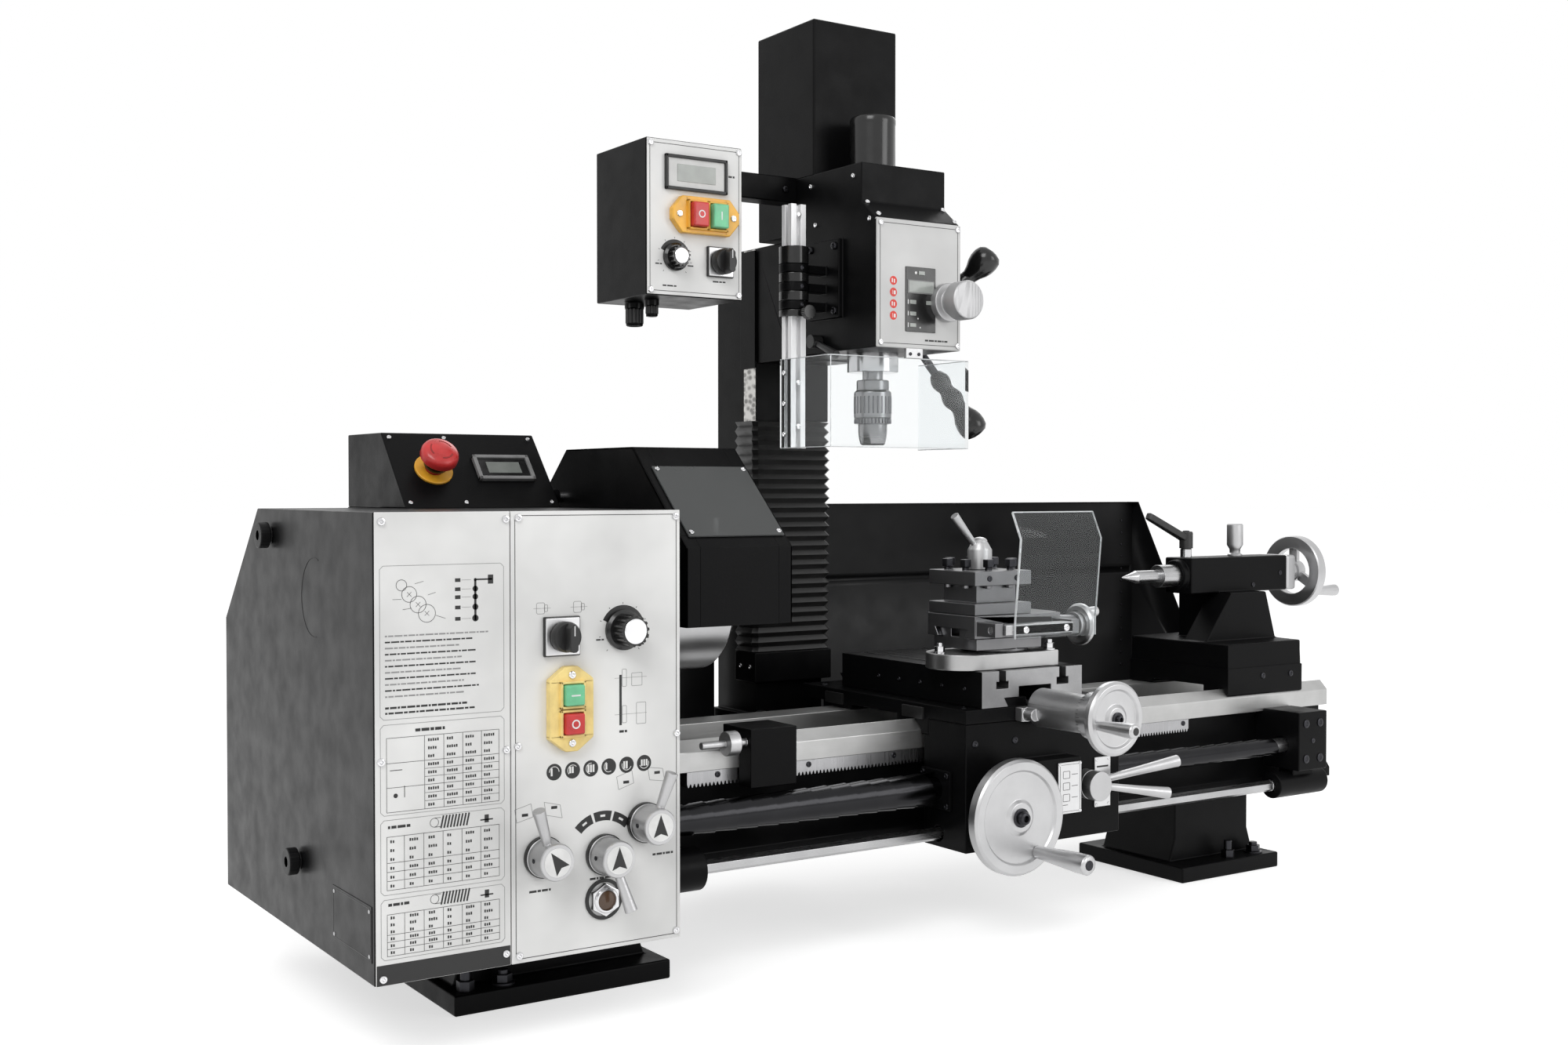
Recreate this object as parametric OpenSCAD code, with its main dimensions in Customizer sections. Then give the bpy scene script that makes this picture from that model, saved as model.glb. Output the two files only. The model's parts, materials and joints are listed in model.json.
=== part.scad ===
// Combination lathe and mill: a bench lathe with a milling head on a rear column.
// X runs along the bed to the right, Y to the back, Z up. The origin is on the floor,
// at the centre of the four fixing holes of the feet and under the lathe axis.

/* [Bed] */
// Height of the lathe bed's way ridge above the floor
bed_top = 242; // [236:1:260]
// Width of the bed over both ways
bed_w = 180; // [170:1:220]
// Right end of the bed
bed_right = 674; // [670:1:820]
// Left end of the bed, inside the headstock
bed_left = -580; // [-585:1:-470]
// Underside of the bed
bed_low = 112; // [90:1:120]
// Centre height over the way ridge, half the swing
centre_h = 145; // [140:1:180]
// Width of one way
way_w = 44; // [36:1:50]
// Height of the prismatic ridge on the front way
vee_h = 12; // [8:1:12]

/* [Feet] */
// Distance between the left and the right fixing holes
hole_span_x = 1080; // [1000:10:1080]
// Distance between the front and the rear fixing holes
hole_span_y = 156; // [140:1:170]
// Radius of a fixing hole
hole_r = 6; // [4:0.5:8]
// Depth of a foot plate from front to back
foot_d = 190; // [180:1:240]
// Thickness of a foot plate
foot_t = 20; // [12:1:30]

/* [Headstock] */
// Right face of the headstock casing
stock_x = -416; // [-430:1:-410]
// Length of the headstock casing along the bed
stock_l = 174; // [160:1:190]
// Length of the gear cover
cover_l = 127; // [110:1:150]
// Front of the headstock, as a distance before the lathe axis
stock_front = 210; // [200:1:230]
// Depth of the gear cover
cover_d = 453; // [430:1:500]
// Depth of the headstock casing
stock_d = 430; // [430:1:480]
// Underside of the headstock and the gear cover
stock_low = 77; // [60:1:90]
// Height of the headstock casing over the spindle axis
stock_over = 97; // [92:1:120]
// Wall of the headstock casing
stock_wall = 8; // [5:0.5:10]
// Wall of the sheet gear cover
cover_wall = 2.5; // [1.5:0.5:4]
// Thickness of the white front plates
plate_t = 3; // [2:0.5:4]
// Radius of the spindle's bearing journals
spindle_r = 30; // [26:1:34]
// Radius of the spindle's through bore
spindle_bore_r = 13; // [10:0.5:16]
// Radius of the chuck
chuck_r = 80; // [62:1:84]

/* [Carriage] */
// Left side of the carriage
carriage_x = -31; // [-40:1:0]
// Width of the carriage
carriage_w = 233; // [220:1:250]
// Top of the saddle
saddle_top = 260; // [256:1:262]
// Distance of the apron's front face before the bed's side
apron_out = 80; // [76:1:90]
// Underside of the apron
apron_low = 102; // [92:1:104]
// Width of the slotted cross slide
table_w = 150; // [140:1:170]
// Top of the cross slide
table_top = 301; // [299:1:303]
// Diameter of the carriage handwheel
apron_wheel_d = 128; // [110:1:140]
// Diameter of the cross slide handwheel
cross_wheel_d = 80; // [70:1:84]
// Radius of the lead screw
lead_r = 10; // [8:0.5:10.5]
// Distance of the lead screw before the bed's side
screw_out = 32; // [30:1:36]
// Height of the lead screw
lead_z = 168; // [165:1:170]
// Height of the feed rod
rod_z = 117; // [114:1:120]
// Width over the flats of the feed rod
rod_af = 13; // [11:0.5:14]

/* [Tool rest] */
// Side of the square tool post
post_w = 82; // [70:1:84]
// Centre of the tool post along the bed
post_x = 32; // [28:1:36]
// Distance of the tool rest before the lathe axis
rest_y = 118; // [112:1:120]

/* [Tailstock] */
// Left side of the tailstock base
tail_x = 478; // [460:1:520]
// Length of the tailstock base
tail_l = 146; // [120:1:160]
// Radius of the tailstock quill
tail_r = 15; // [12:1:17]
// Diameter of the tailstock handwheel
tail_wheel_d = 100; // [90:1:120]

/* [Mill] */
// Centre of the milling column and spindle along the bed
mill_x = -33; // [-40:1:-25]
// Front of the column behind the lathe axis
column_y = 176; // [174:1:190]
// Width of the column
column_w = 100; // [90:1:110]
// Depth of the cast column without its rear duct
column_d = 37; // [34:1:60]
// Top of the column
column_top = 803; // [780:1:805]
// Width of the milling head
head_w = 120; // [112:1:130]
// Underside of the milling head
head_low = 662; // [662:1:680]
// Top of the milling head
head_top = 872; // [865:1:900]
// Top of the motor cover
motor_top = 1054; // [980:1:1100]
// Radius of the milling quill
quill_r = 30; // [24:1:31]
// Length of a spoke of the down-feed handle
spoke_l = 112; // [90:1:120]
// Radius of the hole in the drill chuck
chuck_hole_r = 5; // [3:0.5:6]

/* [Fits] */
// Radial running clearance of shafts in their bores
run = 0.05; // [0.03:0.01:0.1]
// Gap between sliding faces
slip = 0.4; // [0.3:0.1:0.6]

/* [Hidden] */
$fn = 64;

// Lathe axis and bed section
axis_z = bed_top + centre_h;
half_bed = bed_w / 2;
shoulder = bed_top - vee_h;
rear_way = bed_top - 4;
rail_low = shoulder - 21;
wall_y = half_bed - 14;
wall_low = 150;
toe = half_bed + 5;

// Headstock and gear cover
stock_left = stock_x - stock_l;
cover_left = stock_left - cover_l;
stock_back = stock_d - stock_front;
cover_back = cover_d - stock_front;
stock_top = axis_z + stock_over;
shaft_y = -half_bed - screw_out;

// Carriage, table and tool rest
carriage_end = carriage_x + carriage_w;
saddle_low = bed_top + 2;
apron_front = half_bed + apron_out;
cross_x = 70;
cross_z = saddle_top - 2;
cross_r = 6;
table_x0 = cross_x - 3 - table_w / 2;
table_back = 96;
rail_h = 10;
rest_x = 54;
rest_w = 84;
swivel_t = 18;
disc_low = table_top + swivel_t + 0.3;
base_low = disc_low + 4;
base_top = base_low + 13;
slide_top = base_top + 26;
post_low = slide_top + slip;
post_top = post_low + 49;
post_stud_r = 10;
shield_z = base_top + 12;
apron_wheel_x = 10;
apron_wheel_z = 145;
lever_x = 144;
lever_z = 164;

// Tailstock
barrel_w = 2 * tail_r + 18;
barrel_low = axis_z - barrel_w / 2;
barrel_high = axis_z + barrel_w / 2;
barrel_x = tail_x + 1;
barrel_end = barrel_x + 190;
tail_top = 300;
wheel_x = 705;

// Mill
head_x0 = mill_x - head_w / 2;
head_x1 = mill_x + head_w / 2;
col_x0 = mill_x - column_w / 2;
col_x1 = mill_x + column_w / 2;
head_front = 88;
duct_d = 55;
pinion_y = 28;
pinion_z = head_low + 24;
knob_z = head_low + 54;
lock_z = head_low + 13;
guard_x = head_x0 - 46;
guard_y = 8;
box_x = -342;
box_w = 121;
box_y = -11;
box_d = 115;
box_z = head_low + 50;
box_h = 168;

// A block between two corners
module block(x0, x1, y0, y1, z0, z1) {
  translate([x0, y0, z0]) cube([x1 - x0, y1 - y0, z1 - z0]);
}

// A (y, z) outline drawn out along X
module along_x(x0, x1) {
  translate([x0, 0, 0]) rotate([90, 0, 90]) linear_extrude(x1 - x0) children();
}

// An (x, z) outline drawn out along Y
module along_y(y0, y1) {
  translate([0, y1, 0]) rotate([90, 0, 0]) linear_extrude(y1 - y0) children();
}

// Round bars along each axis
module bar_x(x0, x1, y, z, r) {
  translate([x0, y, z]) rotate([0, 90, 0]) cylinder(h = x1 - x0, r = r);
}

module bar_y(y0, y1, x, z, r) {
  translate([x, y0, z]) rotate([-90, 0, 0]) cylinder(h = y1 - y0, r = r);
}

module bar_z(z0, z1, x, y, r) {
  translate([x, y, z0]) cylinder(h = z1 - z0, r = r);
}

// Outline of a handwheel's section: hub, web and rim, with its outer face at z = 0
function wheel_section(d, hub_r, hub_h, rim_w, rim_h, web_t) = [
  [0, -hub_h], [hub_r, -hub_h], [hub_r, -web_t - 3], [d / 2 - rim_w, -web_t - 3],
  [d / 2 - rim_w, -rim_h], [d / 2 - 3, -rim_h], [d / 2, 3 - rim_h], [d / 2, -3],
  [d / 2 - 3, 0], [d / 2 - rim_w + 2, 0], [d / 2 - rim_w, -3], [hub_r + 4, -3], [hub_r, 0],
  [0, 0]
];

// A turned crank grip that stands on z = 0
module grip(l, r) {
  rotate_extrude() polygon([
    [0, 0], [r * 0.6, 0], [r * 0.72, l * 0.2], [r, l * 0.8], [r, l - 2], [r - 2, l], [0, l]
  ]);
}

// A handwheel that faces +Z with one grip at an angle
module handwheel(d, hub_r, hub_h, rim_w, rim_h, web_t, grip_l, grip_r, turn) {
  rotate_extrude() polygon(wheel_section(d, hub_r, hub_h, rim_w, rim_h, web_t));
  rotate([0, 0, turn]) translate([d / 2 - rim_w - grip_r * 0.2, 0, -3]) grip(grip_l, grip_r);
}

// A tapered lever rod of length l along +X from the origin
module lever_rod(l, r0, r1) {
  rotate([0, 90, 0]) cylinder(h = l * 0.5, r1 = r0 * 0.8, r2 = r0);
  translate([l * 0.5, 0, 0]) rotate([0, 90, 0]) cylinder(h = l * 0.5, r1 = r0, r2 = r1);
}

// Section of one rail with its wall and toe; sign is -1 at the front
module rail(sign) {
  polygon([
    [sign * half_bed, rail_low], [sign * half_bed, sign < 0 ? shoulder : rear_way],
    [sign * (half_bed - vee_h), sign < 0 ? bed_top : rear_way],
    [sign * (half_bed - 2 * vee_h), sign < 0 ? shoulder : rear_way],
    [sign * (half_bed - way_w), sign < 0 ? shoulder : rear_way],
    [sign * (half_bed - way_w), rail_low + 4], [sign * (wall_y - 20), rail_low - 8],
    [sign * (wall_y - 20), bed_low], [sign * toe, bed_low], [sign * toe, bed_low + 12],
    [sign * wall_y, wall_low], [sign * wall_y, rail_low]
  ]);
}

module bed() color("dimgray") {
  rib_t = 12;
  rib_gap = (bed_right - bed_left - rib_t) / 8;
  along_x(bed_left, bed_right) rail(-1);
  along_x(bed_left, bed_right) rail(1);
  for (i = [0:8])
    block(bed_left + i * rib_gap, bed_left + i * rib_gap + rib_t,
      -(wall_y - 20), wall_y - 20, bed_low, rail_low - 8);
}

// One foot: plate and cast body under the bed, with its two fixing holes
module pedestal(x0, x1, hole_x) {
  difference() {
    union() {
      block(x0, x1, -foot_d / 2, foot_d / 2, 0, foot_t);
      along_y(-foot_d * 0.32, foot_d * 0.32) polygon([
        [x0 + 12, foot_t], [x1 - 12, foot_t], [x1 - 22, foot_t + 30], [x1 - 22, bed_low],
        [x0 + 22, bed_low], [x0 + 22, foot_t + 30]
      ]);
    }
    for (s = [-1, 1]) bar_z(-1, foot_t + 1, hole_x, s * hole_span_y / 2, hole_r);
  }
}

module pedestals() color("dimgray") {
  pedestal(-hole_span_x / 2 - 57, -hole_span_x / 2 + 179, -hole_span_x / 2);
  pedestal(hole_span_x / 2 - 151, hole_span_x / 2 + 30, hole_span_x / 2);
}

module rack() color("silver") {
  pitch = 4.7;
  rack_x0 = -337;
  teeth = 158;
  rack_low = rail_low - 16;
  along_y(-half_bed + 2, -wall_y) polygon(concat(
    [[rack_x0, rail_low]],
    [for (i = [0:teeth - 1]) each [
      [rack_x0 + i * pitch, rack_low + 3.5], [rack_x0 + (i + 0.25) * pitch, rack_low],
      [rack_x0 + (i + 0.5) * pitch, rack_low], [rack_x0 + (i + 0.75) * pitch, rack_low + 3.5]
    ]],
    [[rack_x0 + teeth * pitch, rack_low + 3.5], [rack_x0 + teeth * pitch, rail_low]]
  ));
}

module splash_guard() color("dimgray") {
  sheet = 1.5;
  guard_x0 = col_x1 + 13;
  guard_x1 = 632;
  back = column_y + 62;
  low = rail_low - 19;
  high = 484;
  // Back sheet with a folded top edge, a stiffening step and a foot that reaches the bed
  along_x(guard_x0, guard_x1) polygon([
    [wall_y, low], [back + sheet, low], [back + sheet, 373], [back + 8 + sheet, 379],
    [back + 8 + sheet, 385], [back + sheet, 391], [back + sheet, high], [back - 12, high],
    [back - 12, high - sheet], [back, high - sheet], [back, 391], [back + 8, 385],
    [back + 8, 379], [back, 373], [back, low + sheet], [wall_y, low + sheet]
  ]);
  // Plain sheet behind the chuck, left of the column
  along_x(stock_x + 1, col_x0 - 11) polygon([
    [wall_y, low], [back + 22, low], [back + 22, high], [back + 22 - sheet, high],
    [back + 22 - sheet, low + sheet], [wall_y, low + sheet]
  ]);
  // End sheet with a sloping front edge
  along_x(guard_x1, guard_x1 + sheet) polygon([
    [half_bed + 4, low], [back + 8 + sheet, low], [back + 8 + sheet, high], [back - 12, high],
    [half_bed + 36, 296], [half_bed + 36, 250], [half_bed + 4, 250]
  ]);
}

module headstock() color("dimgray") {
  boss_end = stock_x + 71;
  difference() {
    union() {
      difference() {
        block(stock_left, stock_x, plate_t - stock_front, stock_back, stock_low, stock_top);
        block(stock_left + stock_wall, stock_x - stock_wall, plate_t - stock_front + stock_wall,
          stock_back - stock_wall, stock_low - 1, stock_top - stock_wall);
        // Gap for the bed's end
        block(stock_left + stock_wall, stock_x + 1, -toe - 1, toe + 1, stock_low - 1, bed_top + 1);
      }
      // Seat on the bed's ways
      along_x(stock_left + stock_wall, stock_x - stock_wall) polygon([
        [2 - half_bed, bed_top + 22], [half_bed - 2, bed_top + 22], [half_bed - 2, rear_way],
        [half_bed - way_w, rear_way], [half_bed - way_w, bed_top + 8],
        [way_w - half_bed, bed_top + 8], [way_w - half_bed, shoulder],
        [2 * vee_h - half_bed, shoulder], [vee_h - half_bed, bed_top],
        [2 - half_bed, shoulder + 2]
      ]);
      // Bearing bosses of the spindle, the lead screw and the feed rod
      bar_x(stock_left, stock_left + 34, 0, axis_z, spindle_r + 22);
      bar_x(stock_x - 34, stock_x + 4, 0, axis_z, spindle_r + 22);
      bar_x(stock_x - 30, boss_end, shaft_y, rod_z, 22);
      bar_x(stock_left, stock_left + 20, shaft_y, lead_z, lead_r + 12);
    }
    bar_x(stock_left - 1, stock_x + 5, 0, axis_z, spindle_r + run);
    bar_x(stock_left - 1, stock_x + 1, shaft_y, lead_z, lead_r + run);
    bar_x(stock_x - 31, boss_end + 1, shaft_y, rod_z, 7.5 + run);
    for (p = panel_bores())
      bar_y(-stock_front, plate_t - stock_front + stock_wall + 1, p[0], p[1], 8);
  }
}

// Places of the turning and pressing controls on the headstock's front plate
cam_at = [stock_x - 125, 370];
speed_at = [stock_x - 61, 373];
start_at = [stock_x - 118, 317];
stop_at = [stock_x - 118, 291];
left_at = [stock_x - 144, 171];
mid_at = [stock_x - 82, 166];
right_at = [stock_x - 39, 191];
function panel_bores() = [cam_at, speed_at, start_at, stop_at, left_at, mid_at, right_at];

module front_plates() color("whitesmoke") {
  difference() {
    block(stock_left, stock_x, -stock_front, plate_t - stock_front, stock_low, stock_top);
    for (p = panel_bores())
      bar_y(-stock_front - 1, plate_t - stock_front + 1, p[0], p[1], 4 + run);
  }
  block(cover_left + 1, stock_left - 1, -stock_front, plate_t / 2 - stock_front,
    stock_low, stock_top);
}

// Side outline of the gear cover, drawn in by a margin
module cover_outline(m) {
  slope = 118;
  polygon([
    [plate_t / 2 - stock_front + m, stock_low + m], [cover_back - m, stock_low + m],
    [cover_back - m, stock_top - slope - m * 0.4], [cover_back - slope - m * 0.4, stock_top - m],
    [plate_t / 2 - stock_front + m, stock_top - m]
  ]);
}

module gear_cover() color("dimgray") {
  knob_out = 13;
  knob_r = 13;
  difference() {
    along_x(cover_left, stock_left - 0.5) cover_outline(0);
    along_x(cover_left + cover_wall, stock_left) cover_outline(cover_wall);
  }
  // Thumb nuts that hold the cover
  for (at = [[cover_back - 162, stock_top - 26], [-5, stock_low + 72]]) {
    bar_x(cover_left - knob_out, cover_left - 3, at[0], at[1], knob_r);
    bar_x(cover_left - 4, cover_left + cover_wall, at[0], at[1], knob_r - 5);
  }
}

// Sloping switch box on top of the headstock
console_front = 45;
console_back = 218;
console_rise = 79;
console_run = 71;
slope_a = atan2(console_rise, console_run);
estop_x = stock_left + 44;
estop_bore_r = 9;

// The middle of the console's sloping face, with +Z out of the face
module on_console(x) {
  translate([x, console_front + console_run / 2, stock_top + console_rise / 2])
    rotate([slope_a, 0, 0]) children();
}

module console() color("dimgray") {
  difference() {
    along_x(stock_left, stock_x) polygon([
      [console_front, stock_top], [console_back, stock_top],
      [console_back, stock_top + console_rise],
      [console_front + console_run, stock_top + console_rise]
    ]);
    along_x(stock_left + 2, stock_x - 2) polygon([
      [console_front + 4, stock_top - 1], [console_back - 2, stock_top - 1],
      [console_back - 2, stock_top + console_rise - 2],
      [console_front + console_run + 1, stock_top + console_rise - 2],
      [console_front + 4, stock_top + 1.2]
    ]);
    on_console(estop_x) translate([0, 0, -8]) cylinder(h = 16, r = estop_bore_r + run);
    bar_x(stock_x - 5, stock_x + 1, hood_y, hood_z, 9);
  }
  // Bearing of the chuck guard's hinge rod
  difference() {
    bar_x(stock_x - 5, stock_x + 20, hood_y, hood_z, 9);
    bar_x(stock_x - 6, stock_x + 21, hood_y, hood_z, 6 + run);
  }
}

module estop() color("red") on_console(estop_x) {
  travel = 5;
  rotate_extrude() polygon([
    [0, -10], [estop_bore_r, -10], [estop_bore_r, travel + 9], [13, travel + 12],
    [20, travel + 14], [20, travel + 20], [16, travel + 25], [8, travel + 27.5],
    [0, travel + 28]
  ]);
}

module column() color("dimgray") {
  foot_top = rail_low + 13;
  frame_y = column_y - 10;
  block(col_x0, col_x1, column_y, column_y + column_d, bed_low, column_top);
  block(col_x0, col_x1 - 8, column_y + column_d, column_y + column_d + duct_d, bed_low,
    column_top);
  block(col_x0 - 10, col_x1 + 12, toe + 1, column_y + column_d + duct_d, bed_low, foot_top);
  block(col_x0 - 10, col_x1 + 12, half_bed, toe + 1, rail_low, foot_top);
  // Lower frame of the bellows
  difference() {
    block(col_x0 - 8, col_x1 + 8, frame_y, column_y + column_d, 262, 299.5);
    block(col_x0, col_x1, column_y, column_y + column_d + 1, 261, 300);
  }
}

// Pleated cover around the front and sides of the column
bellows_low = 300;
bellows_high = head_low - 74;
module bellows() color("dimgray") {
  pleats = 24;
  step = (bellows_high - bellows_low) / pleats;
  wrap = 8;
  for (i = [0:pleats - 1]) difference() {
    z0 = bellows_low + i * step;
    union() {
      block(col_x0 - wrap + 4, col_x1 + wrap - 4, column_y - 6, column_y + column_d - 1, z0,
        z0 + step);
      block(col_x0 - wrap, col_x1 + wrap, column_y - 10, column_y + column_d - 1,
        z0 + step * 0.3, z0 + step * 0.7);
    }
    block(col_x0 - 1, col_x1 + 1, column_y - 1, column_y + column_d, z0 - 1, z0 + step + 1);
  }
}

module end_bracket() color("dimgray") {
  x0 = 544;
  x1 = x0 + 55;
  difference() {
    union() {
      block(x0, x1, shaft_y - 28, -half_bed - 1, lead_z - 31, lead_z + 45);
      block(x0, x1, -half_bed - 1, -wall_y, wall_low + 2, rail_low);
      bar_x(x0 - 21, x1 + 17, shaft_y, rod_z, 17);
      block(x0 + 8, x1 - 8, shaft_y - 12, shaft_y + 12, rod_z + 8, lead_z - 28);
    }
    bar_x(x0 - 1, x1 + 1, shaft_y, lead_z, lead_r + run);
    bar_x(x0 - 22, x1 + 10, shaft_y, rod_z, 7.5 + run);
  }
}

// Telescoping spiral cover of the lead screw, wide at the carriage
module screw_cover(x0, x1, r0, r1) {
  difference() {
    translate([x0, shaft_y, lead_z]) rotate([0, 90, 0]) cylinder(h = x1 - x0, r1 = r0, r2 = r1);
    bar_x(x0 - 1, x1 + 1, shaft_y, lead_z, lead_r + 1);
  }
}

module screw_cover_left() color("gray") screw_cover(stock_x, carriage_x, 17, 20);

module screw_cover_right() color("gray") screw_cover(carriage_end, 544, 14, 12);

module lathe_spindle() color("silver") {
  gear_x = stock_left - 40;
  difference() {
    union() {
      bar_x(stock_left - 60, stock_x + 30, 0, axis_z, spindle_r);
      bar_x(gear_x, gear_x + 14, 0, axis_z, spindle_r + 10);
      bar_x(stock_left + 50, stock_x - 50, 0, axis_z, spindle_r + 25);
      bar_x(stock_x + 10, stock_x + 30, 0, axis_z, spindle_r + 18);
    }
    bar_x(stock_left - 61, stock_x + 31, 0, axis_z, spindle_bore_r);
  }
}

// Three-jaw chuck with its jaws standing out of the face
chuck_front = stock_x + 146;
module chuck() color("silver") {
  body_x = stock_x + 30;
  difference() {
    union() {
      translate([body_x, 0, axis_z]) rotate([0, 90, 0]) rotate_extrude() polygon([
        [0, 0], [chuck_r - 12, 0], [chuck_r - 12, 38], [chuck_r, 41],
        [chuck_r, chuck_front - body_x - 4], [chuck_r - 4, chuck_front - body_x],
        [0, chuck_front - body_x]
      ]);
      for (i = [0:2]) translate([0, 0, axis_z]) rotate([i * 120 + 90, 0, 0]) {
        block(chuck_front - 8, chuck_front + 14, -8, 8, 22, chuck_r - 6);
        block(chuck_front + 13, chuck_front + 28, -8, 8, 22, 44);
      }
    }
    bar_x(body_x - 1, chuck_front + 1, 0, axis_z, 18);
  }
}

module lead_screw() color("silver") {
  bar_x(stock_left - 40, 613, shaft_y, lead_z, lead_r);
  bar_x(stock_left - 38, stock_left - 24, shaft_y, lead_z, 42);
  bar_x(stock_left - 22, stock_left - 2, shaft_y, lead_z, lead_r + 4);
}

module feed_rod() color("silver") {
  bar_x(stock_x - 20, 606, shaft_y, rod_z, 6);
  bar_x(stock_x - 20, -344, shaft_y, rod_z, 7.5);
  bar_x(520, 606, shaft_y, rod_z, 7.5);
  translate([-344, shaft_y, rod_z]) rotate([0, 90, 0])
    cylinder(h = 520 + 344, r = rod_af / sqrt(3), $fn = 6);
}

// A round control on the front plate: shaft in the bore and a stepped knob before the plate
module plate_knob(at, front, profile) {
  translate([at[0], front, at[1]]) rotate([90, 0, 0]) {
    translate([0, 0, -8]) cylinder(h = 9, r = 4);
    rotate_extrude() polygon(profile);
  }
}

// A rotary cam switch: square face plate's knob with a raised grip
module cam_knob(at, front) {
  plate_knob(at, front, [[0, 7], [14, 7], [14, 16], [13, 18], [0, 18]]);
  translate([at[0], front, at[1]]) rotate([90, 0, 0]) {
    cylinder(h = 8, r = 4);
    translate([-4, -13, 15]) cube([8, 26, 14]);
  }
}

module lathe_cam() color("black") cam_knob(cam_at, -stock_front);

module lathe_speed() color("black") plate_knob(speed_at, -stock_front,
  [[0, 0.6], [19, 0.6], [19, 6], [15, 8], [14, 24], [12, 26], [0, 26]]);

// A rectangular push button that plunges towards the plate
module push_button(at, front, w, h, out) {
  translate([at[0], front, at[1]]) rotate([90, 0, 0]) {
    translate([0, 0, -6]) cylinder(h = 8, r = 4);
    translate([-w / 2, -h / 2, 6]) cube([w, h, out - 6]);
    translate([0, 0, 1]) cylinder(h = 6, r = 4);
  }
}

module lathe_start() color("green") push_button(start_at, -stock_front, 19, 19, 17);

module lathe_stop() color("red") push_button(stop_at, -stock_front, 19, 19, 17);

// A selector: black base ring, turned barrel, round dial and a short lever
module selector(at, turn) {
  plate_knob(at, -stock_front,
    [[0, 0.6], [19, 0.6], [19, 6], [17, 7], [17, 30], [16, 32], [0, 32]]);
  translate([at[0], -stock_front - 22, at[1]]) rotate([0, turn, 0])
    translate([14, 0, 0]) rotate([0, 0, -12]) lever_rod(38, 5, 6);
}

module selector_left() color("silver") selector(left_at, -110);

module selector_mid() color("silver") selector(mid_at, 75);

module selector_right() color("silver") selector(right_at, -75);

// Hood over the chuck, hinged on a rod that stands out of the headstock
hood_y = 94;
hood_z = stock_top + 11;
module chuck_guard() color("dimgray") {
  x0 = stock_x + 26;
  x1 = stock_x + 150;
  sheet = 2;
  difference() {
    along_x(x0, x1) hood_outline(0);
    along_x(x0 + sheet, x1 - sheet) hood_outline(sheet);
    along_x(x0 - 1, x1 + 1) polygon([
      [-100, axis_z - 87], [hood_y + 60, axis_z - 87], [hood_y + 60, hood_z - 23],
      [-88, hood_z - 23], [-100, hood_z - 35]
    ]);
  }
  bar_x(stock_x - 5, x1 - 1, hood_y, hood_z, 6);
}

// Side outline of the hood, drawn in by a margin and open below
module hood_outline(m) {
  low = axis_z - (m > 0 ? 87 : 19);
  high = stock_top + 63 - m;
  back = hood_y + 40 - m;
  polygon([
    [-178 + m, low], [-178 + m, axis_z + 59 - m * 0.4], [-68 + m * 0.4, high],
    [hood_y - 10 - m * 0.4, high], [back, hood_z + 9 - m * 0.6], [back, low]
  ]);
}

// A dovetail outline, half as wide as given at its foot and flared towards its top
module dovetail(half, h, gap) {
  polygon([
    [-half - gap, -0.01], [half + gap, -0.01], [half + h * 0.6 + gap, h + gap],
    [-half - h * 0.6 - gap, h + gap]
  ]);
}

module saddle() color("dimgray") {
  rail_half = 36;
  lip = toe + 9;
  lip_low = shoulder - 4;
  g = slip * 1.4;
  difference() {
    union() {
      along_x(carriage_x, carriage_end) polygon([
        [-apron_front, saddle_low], [-apron_front, saddle_top],
        [half_bed + 60, saddle_top], [half_bed + 60, saddle_low],
        [lip, saddle_low], [lip, lip_low], [half_bed + slip, lip_low],
        [half_bed + slip, rear_way + slip],
        [half_bed - way_w - slip, rear_way + slip], [half_bed - way_w - slip, saddle_low],
        [way_w - half_bed + slip, saddle_low], [way_w - half_bed + slip, shoulder + slip],
        [2 * vee_h - half_bed + g, shoulder + slip], [vee_h - half_bed, bed_top + g],
        [-half_bed - slip, shoulder + g - slip], [-half_bed - slip, lip_low], [-lip, lip_low],
        [-lip, saddle_low]
      ]);
      translate([table_x0 + table_w / 2, 0, saddle_top])
        along_y(2 - apron_front, half_bed + 58) dovetail(rail_half, rail_h, 0);
    }
    // Channel of the cross screw and its nut
    block(cross_x - 11, cross_x + 11, -apron_front - 1, half_bed + 10, cross_z - 11,
      saddle_top + rail_h + 1);
  }
}

module apron() color("dimgray") {
  step_y = -toe - 9;
  step_z = shoulder - 4.1;
  boss_r = 18;
  difference() {
    union() {
      along_x(carriage_x, carriage_end) polygon([
        [-apron_front, apron_low], [-toe - 1, apron_low], [-toe - 1, step_z], [step_y, step_z],
        [step_y, saddle_low], [-apron_front, saddle_low]
      ]);
      bar_y(-apron_front - 14, -apron_front + 1, apron_wheel_x, apron_wheel_z, boss_r);
      // Raised gear case between the wheel and the levers
      block(apron_wheel_x + 42, lever_x - 24, -apron_front - 22, -apron_front + 1, lever_z - 28,
        lever_z + 36);
    }
    bar_x(carriage_x - 1, carriage_end + 1, shaft_y, lead_z, lead_r + 1);
    bar_x(carriage_x - 1, carriage_end + 1, shaft_y, rod_z, rod_af / sqrt(3) + 1);
    bar_y(-apron_front - 15, -apron_front + 40, apron_wheel_x, apron_wheel_z, 8 + run);
    bar_y(-apron_front - 1, -apron_front + 25, lever_x, lever_z, 10 + run);
  }
}

module apron_handwheel() color("silver") {
  front = -apron_front - 45;
  translate([apron_wheel_x, front, apron_wheel_z]) rotate([90, 0, 0])
    handwheel(apron_wheel_d, 16, 28, 14, 16, 6, 82, 11, -58);
  bar_y(front, -apron_front + 36, apron_wheel_x, apron_wheel_z, 8);
}

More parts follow.
